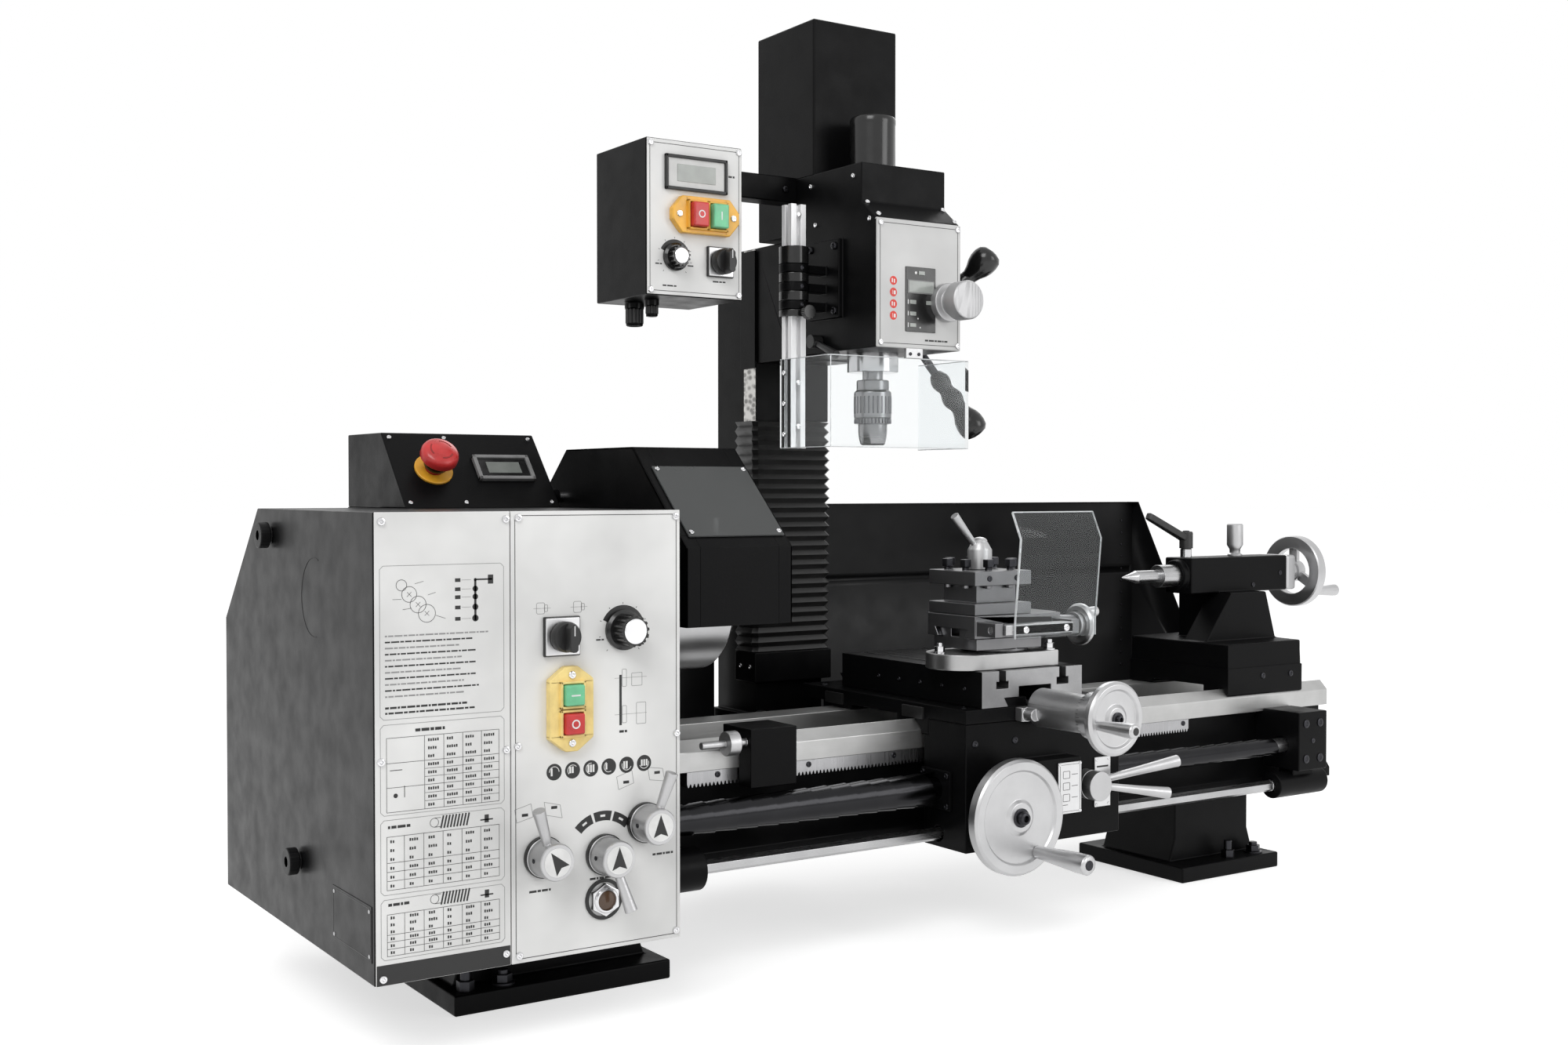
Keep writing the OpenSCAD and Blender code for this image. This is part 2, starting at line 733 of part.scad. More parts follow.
// Ring lever close to the apron; the feed lever's shaft turns inside it
module halfnut_lever() color("silver") {
  front = -apron_front - 15;
  difference() {
    union() {
      bar_y(front, -apron_front - 1, lever_x, lever_z, 17);
      bar_y(front, -apron_front + 22, lever_x, lever_z, 10);
      translate([lever_x + 14, front + 7, lever_z + 2]) rotate([0, -9, 0]) rotate([0, 0, -12])
        lever_rod(112, 5, 7);
    }
    bar_y(front - 1, -apron_front + 23, lever_x, lever_z, 5 + run);
  }
}

module feed_lever() color("silver") {
  front = -apron_front - 30;
  bar_y(front, front + 14, lever_x, lever_z, 17);
  bar_y(front, -apron_front + 20, lever_x, lever_z, 5);
  translate([lever_x + 14, front + 7, lever_z - 2]) rotate([0, 9, 0]) rotate([0, 0, -14])
    lever_rod(84, 5, 7);
}

module cross_slide() color("gray") {
  low = saddle_top + slip;
  front = -apron_front;
  mid = table_x0 + table_w / 2;
  slot_at = 45;
  difference() {
    block(table_x0, table_x0 + table_w, front, table_back, low, table_top);
    translate([mid, 0, saddle_top]) along_y(front - 1, table_back + 1) dovetail(36, rail_h, slip);
    // Tunnel over the cross-feed bracket
    block(cross_x - 24, cross_x + 24, front - 1, -62, low - 1, cross_z + 24);
    for (s = [-1, 1]) {
      block(mid + s * slot_at - 5, mid + s * slot_at + 5, front - 1, table_back + 1,
        table_top - 14, table_top + 1);
      block(mid + s * slot_at - 9, mid + s * slot_at + 9, front - 1, table_back + 1,
        table_top - 20, table_top - 12);
    }
  }
  // Nut of the cross screw
  difference() {
    block(cross_x - 9, cross_x + 9, -60, -36, cross_z - 9, saddle_top + rail_h + 1);
    bar_y(-61, -35, cross_x, cross_z, cross_r + slip);
  }
}

module cross_bracket() color("silver") {
  difference() {
    union() {
      block(cross_x - 30, cross_x + 30, -apron_front - 12, -apron_front, saddle_low,
        saddle_top - 0.5);
      translate([cross_x, -apron_front - 11, cross_z]) rotate([90, 0, 0])
        cylinder(h = 81, r1 = 22, r2 = 21);
      bar_y(-apron_front - 26, -apron_front - 12, cross_x - 22, saddle_low + 8, 7);
    }
    bar_y(-apron_front - 93, -apron_front + 1, cross_x, cross_z, cross_r + run);
  }
}

module cross_handwheel() color("silver") {
  face = -apron_front - 130;
  bar_y(face, 60, cross_x, cross_z, cross_r);
  bar_y(face + 14, face + 37.6, cross_x, cross_z, 26);
  translate([cross_x, face, cross_z]) rotate([90, 0, 0])
    handwheel(cross_wheel_d, 12, 24, 10, 12, 5, 58, 8, 189);
}

module swivel_base() color("silver") {
  pin_r = 12;
  difference() {
    union() {
      bar_z(table_top, table_top + swivel_t, rest_x - 47, -rest_y, rest_w / 2);
      block(rest_x - 47, rest_x + 61, -rest_y - rest_w / 2, -rest_y + rest_w / 2,
        table_top, table_top + swivel_t);
    }
    bar_z(table_top + 2, table_top + swivel_t + 1, rest_x, -rest_y, pin_r + run);
  }
}

// Height of the compound screw over the foot of its rail
top_screw_z = 6;
module compound_base() color("dimgray") {
  nut_x0 = rest_x - 10;
  nut_x1 = rest_x + 6;
  base_x1 = rest_x + 38;
  bar_z(table_top + 4, disc_low + 1, rest_x, -rest_y, 12);
  bar_z(disc_low, base_low, rest_x, -rest_y, 38);
  difference() {
    union() {
      block(rest_x - 58, base_x1, -rest_y - 38, -rest_y + 38, base_low, base_top);
      along_x(rest_x - 58, rest_x + 30) translate([-rest_y, base_top]) dovetail(22, rail_h, 0);
    }
    for (span = [[rest_x - 59, nut_x0], [nut_x1, base_x1 + 1]])
      block(span[0], span[1], -rest_y - 7, -rest_y + 7, base_top + 1, base_top + rail_h + 1);
    bar_x(nut_x0 - 1, nut_x1 + 1, -rest_y, base_top + top_screw_z, 4 + slip);
  }
}

module compound_slide() color("dimgray") {
  x0 = rest_x - 64;
  x1 = rest_x + 63;
  low = base_top + slip;
  difference() {
    union() {
      difference() {
        block(x0, x1, -rest_y - rest_w / 2, -rest_y + rest_w / 2, low, slide_top);
        along_x(x0 - 1, x1 + 1) translate([-rest_y, base_top]) dovetail(22, rail_h, slip);
      }
      // End bearing with its neck
      block(x1, x1 + 8, -rest_y - 26, -rest_y + 26, low, slide_top);
      translate([x1 + 7, -rest_y, base_top + top_screw_z]) rotate([0, 90, 0])
        cylinder(h = 51, r1 = 14, r2 = 12);
      // Lugs that carry the screen's pin
      for (x = [x0 + 2, x0 + 114])
        block(x, x + 12, -rest_y - 74, -rest_y - rest_w / 2, shield_z - 8, shield_z + 8);
    }
    bar_x(x1 - 1, x1 + 59, -rest_y, base_top + top_screw_z, 4 + run);
    bar_x(x0, x1, -rest_y - 66, shield_z, 4 + run);
  }
  bar_z(slide_top, post_top + 16, post_x, -rest_y, post_stud_r);
}

module compound_handwheel() color("silver") {
  x1 = rest_x + 122;
  z = base_top + top_screw_z;
  bar_x(rest_x - 44, x1 + 14, -rest_y, z, 4);
  bar_x(x1, x1 + 12, -rest_y, z, 15);
  translate([x1 + 16, -rest_y, z]) rotate([0, 90, 0])
    handwheel(50, 11, 12, 8, 10, 5, 34, 6, 150);
}

module tool_post() color("dimgray") {
  half = post_w / 2;
  screw_in = 7;
  difference() {
    translate([post_x, -rest_y, 0]) {
      block(-half, half, -half, half, post_low, post_low + 13);
      block(-half + 12, half - 12, -half + 12, half - 12, post_low + 12, post_top - 15);
      block(-half, half, -half, half, post_top - 16, post_top);
      for (sx = [-1, 1]) for (sy = [-1, 1]) {
        near = [sx * (half - screw_in), sy * (half - screw_in - 18)];
        far = [sx * (half - screw_in - 18), sy * (half - screw_in)];
        for (p = [near, far]) {
          bar_z(post_top - 20, post_top + 6, p[0], p[1], 4);
          block(p[0] - 4.5, p[0] + 4.5, p[1] - 4.5, p[1] + 4.5, post_top + 4, post_top + 13);
        }
      }
    }
    bar_z(post_low - 1, post_top + 1, post_x, -rest_y, post_stud_r + run);
  }
}

module tool_post_lever() color("silver") {
  low = post_top + slip;
  difference() {
    union() {
      bar_z(low, low + 22, post_x, -rest_y, 14);
      translate([post_x, -rest_y, low + 22]) cylinder(h = 9, r1 = 14, r2 = 9);
      translate([post_x, -rest_y, low + 20]) rotate([0, -48, 180]) rotate([0, 0, 0])
        translate([8, 0, 0]) lever_rod(48, 4, 5);
    }
    bar_z(low - 1, post_top + 17, post_x, -rest_y, post_stud_r + run);
  }
}

// Clear bent screen in front of the tool post, on a bar between two lugs
module tool_shield() color("lightblue") {
  x0 = rest_x - 50 + 0.3;
  x1 = rest_x + 50 - 0.3;
  pin_y = -rest_y - 66;
  block(x0, x1, pin_y - 12, pin_y + 6, shield_z - 6, shield_z + 6);
  bar_x(x0 - 11, x1 + 11, pin_y, shield_z, 4);
  along_x(x0 + 11, x1 + 32) polygon([
    [pin_y - 15, shield_z - 10], [pin_y - 12, shield_z - 10], [pin_y - 12, shield_z + 8],
    [pin_y - 21, shield_z + 100], [pin_y - 7, shield_z + 129], [pin_y - 9.7, shield_z + 130.3],
    [pin_y - 24, shield_z + 100.4], [pin_y - 15, shield_z + 8]
  ]);
}

module carriage_stop() color("silver") {
  x0 = -275;
  x1 = x0 + 58;
  rod_y = -half_bed - 14;
  rod_top = bed_top - 4;
  low = rail_low - 19;
  high = bed_top + 10;
  g = slip * 1.4;
  along_x(x0, x1) polygon([
    [rod_y - 10, low], [-half_bed - slip, low], [-half_bed - slip, shoulder + g - slip],
    [vee_h - half_bed, bed_top + g], [2 * vee_h - half_bed + g, shoulder + slip],
    [32 - half_bed, shoulder + slip], [32 - half_bed, high], [rod_y - 10, high]
  ]);
  bar_x(x0 - 55, x0 + 1, rod_y, rod_top, 4);
  bar_x(x0 - 26, x0 - 12, rod_y, rod_top, 13);
}

module tailstock() color("dimgray") {
  x1 = tail_x + tail_l;
  split = bed_top + 26;
  neck_y = 45;
  g = slip * 1.4;
  difference() {
    union() {
      along_x(tail_x, x1) polygon([
        [-half_bed + 1, split], [half_bed - 1, split], [half_bed - 1, rear_way + slip],
        [half_bed - way_w - slip, rear_way + slip], [half_bed - way_w - slip, saddle_low],
        [way_w - half_bed + slip, saddle_low], [way_w - half_bed + slip, shoulder + slip],
        [2 * vee_h - half_bed + g, shoulder + slip], [vee_h - half_bed, bed_top + g],
        [1 - half_bed, bed_top + g - vee_h + 1]
      ]);
      block(tail_x + 2, x1 - 2, 3 - half_bed, half_bed - 3, split, tail_top);
      // Neck, and the gusset on its front left
      along_y(-neck_y, neck_y + 5) polygon([
        [tail_x + 55, tail_top - 1], [x1 - 2, tail_top - 1], [tail_x + 124, barrel_low + 1],
        [tail_x + 55, barrel_low + 1]
      ]);
      along_y(-neck_y, -5) polygon([
        [tail_x + 56, barrel_low + 1], [tail_x + 56, tail_top - 1], [tail_x + 6, tail_top - 1]
      ]);
      block(barrel_x, barrel_end, -barrel_w / 2, barrel_w / 2, barrel_low, barrel_high);
      bar_x(barrel_x - 9, barrel_x + 1, 0, axis_z, 21);
    }
    bar_x(barrel_x - 10, barrel_end - 12, 0, axis_z, tail_r + run);
    bar_x(barrel_end - 13, barrel_end + 1, 0, axis_z, 6 + run);
    bar_z(barrel_high - 5, barrel_high + 1, tail_x + 16, 0, 5 + run);
    bar_z(barrel_high - 5, barrel_high + 1, tail_x + 112, 0, 5 + run);
  }
}

module tail_quill() color("silver") {
  nose = 439;
  back = nose + 190;
  difference() {
    union() {
      bar_x(nose, back, 0, axis_z, tail_r);
      bar_x(nose - 40, nose + 1, 0, axis_z, 8.5);
      translate([nose - 65, 0, axis_z]) rotate([0, 90, 0]) cylinder(h = 26, r1 = 0.6, r2 = 8.5);
    }
    bar_x(nose + 100, back + 1, 0, axis_z, 6 + run);
  }
}

module tail_handwheel() color("silver") {
  rim = 9;
  bar_x(550, wheel_x + 10, 0, axis_z, 6);
  bar_x(barrel_end + 21, wheel_x + 1, 0, axis_z, 13);
  translate([wheel_x, 0, axis_z]) rotate([0, 90, 0]) {
    cylinder(h = 16, r = 15);
    rotate_extrude() translate([tail_wheel_d / 2 - rim, 8]) circle(r = rim);
    for (i = [0:2]) rotate([0, 0, i * 120 + 30]) translate([0, 0, 8]) rotate([0, 90, 0])
      cylinder(h = tail_wheel_d / 2 - rim, r = 5);
    rotate([0, 0, -48]) translate([tail_wheel_d / 2 - rim, 0, 12]) grip(48, 8);
  }
}

module tail_clamp() color("silver") {
  x = tail_x + 16;
  bar_z(barrel_high - 4, barrel_high + 14, x, 0, 5);
  bar_z(barrel_high + slip, barrel_high + 12, x, 0, 9);
  translate([x, 0, barrel_high + 10]) rotate([0, -35, 180]) lever_rod(90, 5, 6);
}

module tail_grip() color("silver") {
  x = tail_x + 112;
  low = barrel_high + slip;
  bar_z(barrel_high - 4, low + 3, x, 0, 5);
  translate([x, 0, low]) rotate_extrude() polygon([
    [0, 0], [11, 0], [11, 6], [7, 10], [8, 30], [11, 46], [8, 52], [0, 52]
  ]);
}

module mill_head() color("dimgray") {
  back = column_y - slip;
  quill_top = head_top - 14;
  shelf = head_low + 144;
  difference() {
    union() {
      along_x(head_x0, head_x1) polygon([
        [98, head_low], [-86, head_low], [-86, head_low + 145], [-60, head_low + 166],
        [-60, head_top], [back - 21, head_top], [back - 21, shelf], [98, shelf]
      ]);
      // Slide on the column's front, with the tongue that pulls the bellows
      block(col_x0, col_x1, 97, back, head_low - 2, column_top);
      block(mill_x, col_x1, back - 15, back, bellows_high + 0.5, head_low);
      // White face plate
      block(head_x0, head_x1, -head_front - 1, -86, head_low, head_low + 144);
      // Bracket and rings that carry the guard's hinge
      block(head_x0 - 6, head_x0, -24, 40, head_low + 38, head_low + 128);
      for (i = [0:2]) {
        z0 = head_low + 46 + i * 21;
        block(guard_x + 10, head_x0 - 1, guard_y - 8, guard_y + 8, z0, z0 + 10);
        bar_z(z0, z0 + 10, guard_x, guard_y, 17);
      }
    }
    bar_z(head_low - 1, quill_top, mill_x, 0, quill_r + run);
    bar_z(quill_top - 1, head_top + 1, mill_x, 0, 13);
    bar_x(head_x1 - 23, head_x1 + 1, pinion_y, pinion_z, 8 + run);
    bar_y(-head_front - 2, -66, mill_x + 37, knob_z, 5 + run);
    bar_x(head_x0 - 1, head_x0 + 14, 22, lock_z, 4 + run);
    bar_z(head_low + 45, head_low + 99, guard_x, guard_y, 14.4 + run);
  }
}

module motor_cover() color("dimgray") {
  y0 = 35;
  y1 = column_y - slip - 21;
  difference() {
    block(head_x0, head_x1, y0, y1, head_top, motor_top);
    block(head_x0 + 2, head_x1 - 2, y0 + 2, y1 - 2, head_top - 1, motor_top - 2);
  }
  bar_z(head_top, motor_top - 45, mill_x, (y0 + y1) / 2, 42);
}

module mill_quill() color("silver") {
  difference() {
    bar_z(head_low - 22, head_top - 22, mill_x, 0, quill_r);
    bar_z(head_low - 23, head_top - 21, mill_x, 0, 12 + run);
  }
}

module mill_spindle() color("silver") {
  bar_z(head_low - 42, head_top - 6, mill_x, 0, 12);
  translate([mill_x, 0, head_low - 107]) rotate_extrude() polygon([
    [chuck_hole_r, 0], [7, 0], [17, 14], [17, 24], [22, 26], [22, 62], [19, 66], [19, 76],
    [0, 76], [0, 30], [chuck_hole_r, 30]
  ]);
}

module feed_handles() color("black") {
  hub_x = head_x1 + slip;
  tilt = 27;
  bar_x(head_x1 - 22, hub_x + 1, pinion_y, pinion_z, 8);
  bar_x(hub_x, hub_x + 33, pinion_y, pinion_z, 17);
  for (i = [0:2]) translate([hub_x + 18, pinion_y, pinion_z]) rotate([i * 120 + 7, 0, 0])
    rotate([0, 0, -tilt]) rotate([-90, 0, 0]) {
      cylinder(h = spoke_l - 20, r = 5);
      translate([0, 0, spoke_l - 46]) grip(72, 14);
    }
}

module fine_knob() color("silver") {
  bar_y(-head_front - 40, -67, mill_x + 37, knob_z, 5);
  translate([mill_x + 37, -head_front - 1.5, knob_z]) rotate([90, 0, 0]) rotate_extrude() polygon([
    [0, 0], [22, 0], [22, 10], [15, 12], [15, 22], [22, 24], [22, 41], [20, 43], [0, 43]
  ]);
}

module quill_lock() color("silver") {
  bar_x(head_x0 - 14, head_x0 + 12, 22, lock_z, 4);
  bar_x(head_x0 - 14, head_x0 - slip, 22, lock_z, 8);
  translate([head_x0 - 8, 22, lock_z]) rotate([0, 0, -90]) rotate([0, 22, 0]) lever_rod(48, 4, 5);
}

// Hinged screen round the drill chuck: bar and rings on the hinge, clear sheet below
module mill_guard() color("lightblue") {
  low = head_low - 112;
  high = head_low - 10;
  sheet = 3;
  ring_low = head_low + 46;
  block(guard_x - 10, guard_x + 10, guard_y - 10, guard_y + 10, low, head_low + 166);
  bar_z(ring_low - 8, ring_low + 72, guard_x, guard_y, 14.4);
  bar_z(ring_low - 8, ring_low - 0.3, guard_x, guard_y, 17);
  for (i = [0:1]) bar_z(ring_low + 10.3 + i * 21, ring_low + 20.7 + i * 21, guard_x, guard_y, 17);
  bar_z(ring_low + 52.3, ring_low + 72, guard_x, guard_y, 17);
  block(guard_x - 10 - sheet, guard_x - 10, -83, guard_y + 9, low, high);
  block(guard_x - 10, head_x1 + 14, -83, -83 + sheet, low, high);
  block(head_x1 + 14, head_x1 + 14 + sheet, -83, guard_y, low, high);
}

knob_at = [box_x + 35, box_z + 42];
mill_cam_at = [box_x + 91, box_z + 40];
mill_stop_at = [box_x + 58, box_z + 88];
mill_start_at = [box_x + 83, box_z + 88];

// The two cable glands' Y positions and radii
glands = [[32, 7.5], [72, 10.5]];

module control_box() color("dimgray") {
  wall = 2.5;
  difference() {
    block(box_x, box_x + box_w, box_y, box_y + box_d, box_z, box_z + box_h);
    block(box_x + wall, box_x + box_w - wall, box_y + wall, box_y + box_d - wall,
      box_z + wall, box_z + box_h - wall);
    for (p = [knob_at, mill_cam_at, mill_stop_at, mill_start_at])
      bar_y(box_y - 1, box_y + wall + 1, p[0], p[1], 4 + run);
    for (g = glands) bar_z(box_z - 1, box_z + wall + 1, box_x + 31, g[0], g[1] - 3);
  }
  // Cable glands and the arm to the head
  for (g = glands) difference() {
    union() {
      bar_z(box_z - 7, box_z, box_x + 31, g[0], g[1]);
      bar_z(box_z - 2.5 * g[1], box_z - 6, box_x + 31, g[0], g[1] - 1);
    }
    bar_z(box_z - 2.5 * g[1] - 1, box_z + 1, box_x + 31, g[0], g[1] - 4);
  }
  block(box_x + box_w, head_x0, 70, 100, box_z + box_h - 37, box_z + box_h - 7);
}

module control_knob() color("black") plate_knob(knob_at, box_y,
  [[0, 0.6], [15, 0.6], [15, 3], [12, 4], [11, 15], [9, 17], [0, 17]]);

module control_cam() color("black") cam_knob(mill_cam_at, box_y);

module control_start() color("green") push_button(mill_start_at, box_y, 19, 26, 20);

module control_stop() color("red") push_button(mill_stop_at, box_y, 19, 26, 20);

bed();
pedestals();
rack();
splash_guard();
headstock();
front_plates();
console();
column();
bellows();
end_bracket();
screw_cover_left();
screw_cover_right();
gear_cover();
lathe_spindle();
chuck();
lead_screw();
feed_rod();
lathe_cam();
lathe_speed();
lathe_start();
lathe_stop();
selector_left();
selector_mid();
selector_right();
estop();
chuck_guard();
saddle();
apron();
apron_handwheel();
halfnut_lever();
feed_lever();
cross_slide();
cross_bracket();
cross_handwheel();
swivel_base();
compound_base();
compound_slide();
compound_handwheel();
tool_post();
tool_post_lever();
tool_shield();
carriage_stop();
tailstock();
tail_quill();
tail_handwheel();
tail_clamp();
tail_grip();
mill_head();
motor_cover();
mill_quill();
mill_spindle();
feed_handles();
fine_knob();
quill_lock();
mill_guard();
control_box();
control_knob();
control_cam();
control_start();
control_stop();
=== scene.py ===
"""Looks of a bench combination lathe mill: softened castings, fittings and finishes.

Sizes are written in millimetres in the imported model's own frame and end in metres.
"""
import json
import logging
import math
from collections.abc import Callable, Iterable, Sequence
from dataclasses import dataclass, field
from enum import Enum

import bmesh
import bpy
from mathutils import Matrix, Vector


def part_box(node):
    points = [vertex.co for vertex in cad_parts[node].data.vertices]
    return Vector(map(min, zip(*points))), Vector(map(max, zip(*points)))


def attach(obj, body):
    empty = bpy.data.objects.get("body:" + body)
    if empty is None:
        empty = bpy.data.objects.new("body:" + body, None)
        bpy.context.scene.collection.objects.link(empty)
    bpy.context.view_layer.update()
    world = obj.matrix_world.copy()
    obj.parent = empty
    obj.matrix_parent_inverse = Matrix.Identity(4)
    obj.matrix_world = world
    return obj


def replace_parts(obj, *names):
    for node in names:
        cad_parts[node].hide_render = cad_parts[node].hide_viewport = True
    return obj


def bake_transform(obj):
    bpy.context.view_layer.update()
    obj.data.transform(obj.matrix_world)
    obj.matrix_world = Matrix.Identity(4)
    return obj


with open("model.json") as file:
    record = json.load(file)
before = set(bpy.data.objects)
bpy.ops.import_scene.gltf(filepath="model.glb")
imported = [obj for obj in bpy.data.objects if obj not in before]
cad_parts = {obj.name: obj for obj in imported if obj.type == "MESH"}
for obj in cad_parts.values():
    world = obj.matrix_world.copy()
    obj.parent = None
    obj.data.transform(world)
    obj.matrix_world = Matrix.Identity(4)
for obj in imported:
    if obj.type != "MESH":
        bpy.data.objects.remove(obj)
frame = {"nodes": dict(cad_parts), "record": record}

log = logging.getLogger("lathe_mill")
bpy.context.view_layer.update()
MM = 0.001
# Range of a noise node in which most of its values lie
NOISE_LOW, NOISE_HIGH = 0.3, 0.7
# A casting: points this close in mm are one, and angles in degrees that count as flat or as an edge
WELD_MM, FLAT_DEGREES, EDGE_DEGREES = 0.004, 0.4, 33
# How bright the floor and the surround are to the camera and to the lighting
FLOOR_SHOWN, SURROUND_LIGHT, SURROUND_SHOWN = 0.62, 0.56, 1.0
Point = tuple[float, float, float]
Outline = Sequence[tuple[float, float]]


class Axis(Enum):
    """A direction of the model's frame, with the turn that lays +Z along it."""
    X = "X"
    Y = "Y"
    Z = "Z"

    @property
    def index(self) -> int:
        """Number of this axis in a point."""
        return "XYZ".index(self.value)

    @property
    def turn(self) -> Matrix:
        """Rotation that carries a shape made along +Z onto this axis.

        Returns:
            The rotation.
        """
        turns = {
            Axis.X: Matrix(((0, 0, 1), (1, 0, 0), (0, 1, 0))),
            Axis.Y: Matrix(((1, 0, 0), (0, 0, 1), (0, -1, 0))),
            Axis.Z: Matrix.Identity(3),
        }
        return turns[self].to_4x4()


class Grain(Enum):
    """Way the tool marks run on a ground face, as a stretch of its noise."""
    ALONG_X = (0.03, 1.0, 1.0)
    ALONG_Y = (1.0, 0.03, 1.0)
    ALONG_Z = (1.0, 1.0, 0.03)
    EVEN = (1.0, 1.0, 1.0)


class Board:
    """A material's node board, with short ways to add what the finishes share."""

    def __init__(self, name: str) -> None:
        """Start a material that holds one Principled shader.

        Args:
            name: The material's name.
        """
        self.material = bpy.data.materials.new(name)
        self.material.use_nodes = True
        self.tree = self.material.node_tree
        self.shader = self.tree.nodes["Principled BSDF"]

    def node(self, kind: str, **settings: object) -> bpy.types.Node:
        """Add a node and set its properties or input sockets.

        Args:
            kind: The node's type name after "ShaderNode".
            **settings: Property names, or input names with _ for a space.

        Returns:
            The new node.
        """
        made = self.tree.nodes.new("ShaderNode" + kind)
        for key, value in settings.items():
            if hasattr(made, key) and key != "width":
                setattr(made, key, value)
            else:
                made.inputs[key.replace("_", " ")].default_value = value
        return made

    def link(self, source: bpy.types.NodeSocket, target: bpy.types.NodeSocket) -> None:
        """Join an output socket to an input socket."""
        self.tree.links.new(source, target)

    def place(self, centre: Point = (0, 0, 0), stretch: Point = (1, 1, 1)) -> bpy.types.NodeSocket:
        """Object coordinates about a centre, stretched along the axes.

        Args:
            centre: Point in millimetres that becomes the pattern's origin.
            stretch: Scale along each axis.

        Returns:
            The vector output.
        """
        coordinates = self.node("TexCoord").outputs["Object"]
        shifted = self.node("VectorMath", operation="SUBTRACT")
        shifted.inputs[1].default_value = [c * MM for c in centre]
        scaled = self.node("VectorMath", operation="MULTIPLY")
        scaled.inputs[1].default_value = stretch
        self.link(coordinates, shifted.inputs[0])
        self.link(shifted.outputs[0], scaled.inputs[0])
        return scaled.outputs[0]

    def noise(self, per_metre: float, where: bpy.types.NodeSocket,
              detail: float = 2.0) -> bpy.types.NodeSocket:
        """A noise pattern.

        Args:
            per_metre: Its scale, in features a metre.
            where: The coordinates it reads.
            detail: How many finer layers it has.

        Returns:
            The factor output.
        """
        made = self.node("TexNoise", Scale=per_metre, Detail=detail)
        self.link(where, made.inputs["Vector"])
        return made.outputs["Fac"]

    def spread(self, factor: bpy.types.NodeSocket, low: float, high: float) -> bpy.types.NodeSocket:
        """Map a noise's middle stretch onto a range of values.

        Args:
            factor: The noise.
            low: Value at its low end.
            high: Value at its high end.

        Returns:
            The result output.
        """
        made = self.node("MapRange", clamp=True)
        for key, value in zip(("From Min", "From Max", "To Min", "To Max"),
                              (NOISE_LOW, NOISE_HIGH, low, high)):
            made.inputs[key].default_value = value
        self.link(factor, made.inputs["Value"])
        return made.outputs["Result"]

    def tint(self, factor: bpy.types.NodeSocket, first: Sequence[float], second: Sequence[float]) -> None:
        """Let the base colour run between two colours along a factor.

        Args:
            factor: The pattern that picks the colour.
            first: Colour at its low end.
            second: Colour at its high end.
        """
        ramp = self.node("ValToRGB")
        ramp.color_ramp.elements[0].position = NOISE_LOW
        ramp.color_ramp.elements[0].color = (*first, 1)
        ramp.color_ramp.elements[1].position = NOISE_HIGH
        ramp.color_ramp.elements[1].color = (*second, 1)
        self.link(factor, ramp.inputs["Fac"])
        self.link(ramp.outputs["Color"], self.shader.inputs["Base Color"])

    def rough(self, factor: bpy.types.NodeSocket, low: float, high: float) -> None:
        """Let the roughness run between two values along a factor."""
        self.link(self.spread(factor, low, high), self.shader.inputs["Roughness"])

    def bump(self, height: bpy.types.NodeSocket, depth_mm: float, strength: float = 1.0) -> None:
        """Raise the surface by a pattern.

        Args:
            height: The pattern.
            depth_mm: Its depth in millimetres.
            strength: How much of it shows.
        """
        made = self.node("Bump", Strength=strength, Distance=depth_mm * MM)
        self.link(height, made.inputs["Height"])
        if self.shader.inputs["Normal"].is_linked:
            self.link(self.shader.inputs["Normal"].links[0].from_socket, made.inputs["Normal"])
        self.link(made.outputs["Normal"], self.shader.inputs["Normal"])


@dataclass(frozen=True)
class Finish:
    """A surface finish, made into a material the first time a piece asks for it."""
    name: str
    slot: str
    colour: tuple[float, float, float]
    roughness: float = 0.5

    def material(self) -> bpy.types.Material:
        """Build the finish's material, once.

        Returns:
            The material.
        """
        made = bpy.data.materials.get(self.name)
        if made is None:
            board = Board(self.name)
            board.shader.inputs["Base Color"].default_value = (*self.colour, 1)
            board.shader.inputs["Roughness"].default_value = self.roughness
            self.dress(board)
            made = board.material
        return made

    def dress(self, board: Board) -> None:
        """Add the finish's own pattern to a board.

        Args:
            board: The board it is added to.
        """
        cloud = board.noise(60, board.place(), 3)
        board.tint(cloud, [c * 0.9 for c in self.colour], [min(1, c * 1.08) for c in self.colour])
        board.rough(cloud, self.roughness * 0.85, min(1, self.roughness * 1.15))


@dataclass(frozen=True)
class TexturedPaint(Finish):
    """Sprayed paint with a fine raised texture, over castings and sheet."""
    depth_mm: float = 0.09
    grain_per_metre: float = 620.0
    gloss: float = 0.08

    def dress(self, board: Board) -> None:
        """Add the pebbled texture, dust-soft gloss changes and faint clouding.

        Args:
            board: The board it is added to.
        """
        place = board.place()
        board.shader.inputs["Specular IOR Level"].default_value = self.gloss
        board.tint(board.noise(9, place, 3), [c * 0.85 for c in self.colour],
                   [c * 1.12 for c in self.colour])
        board.rough(board.noise(35, place, 4), self.roughness * 0.82, self.roughness * 1.18)
        board.bump(board.noise(self.grain_per_metre, place, 2), self.depth_mm)


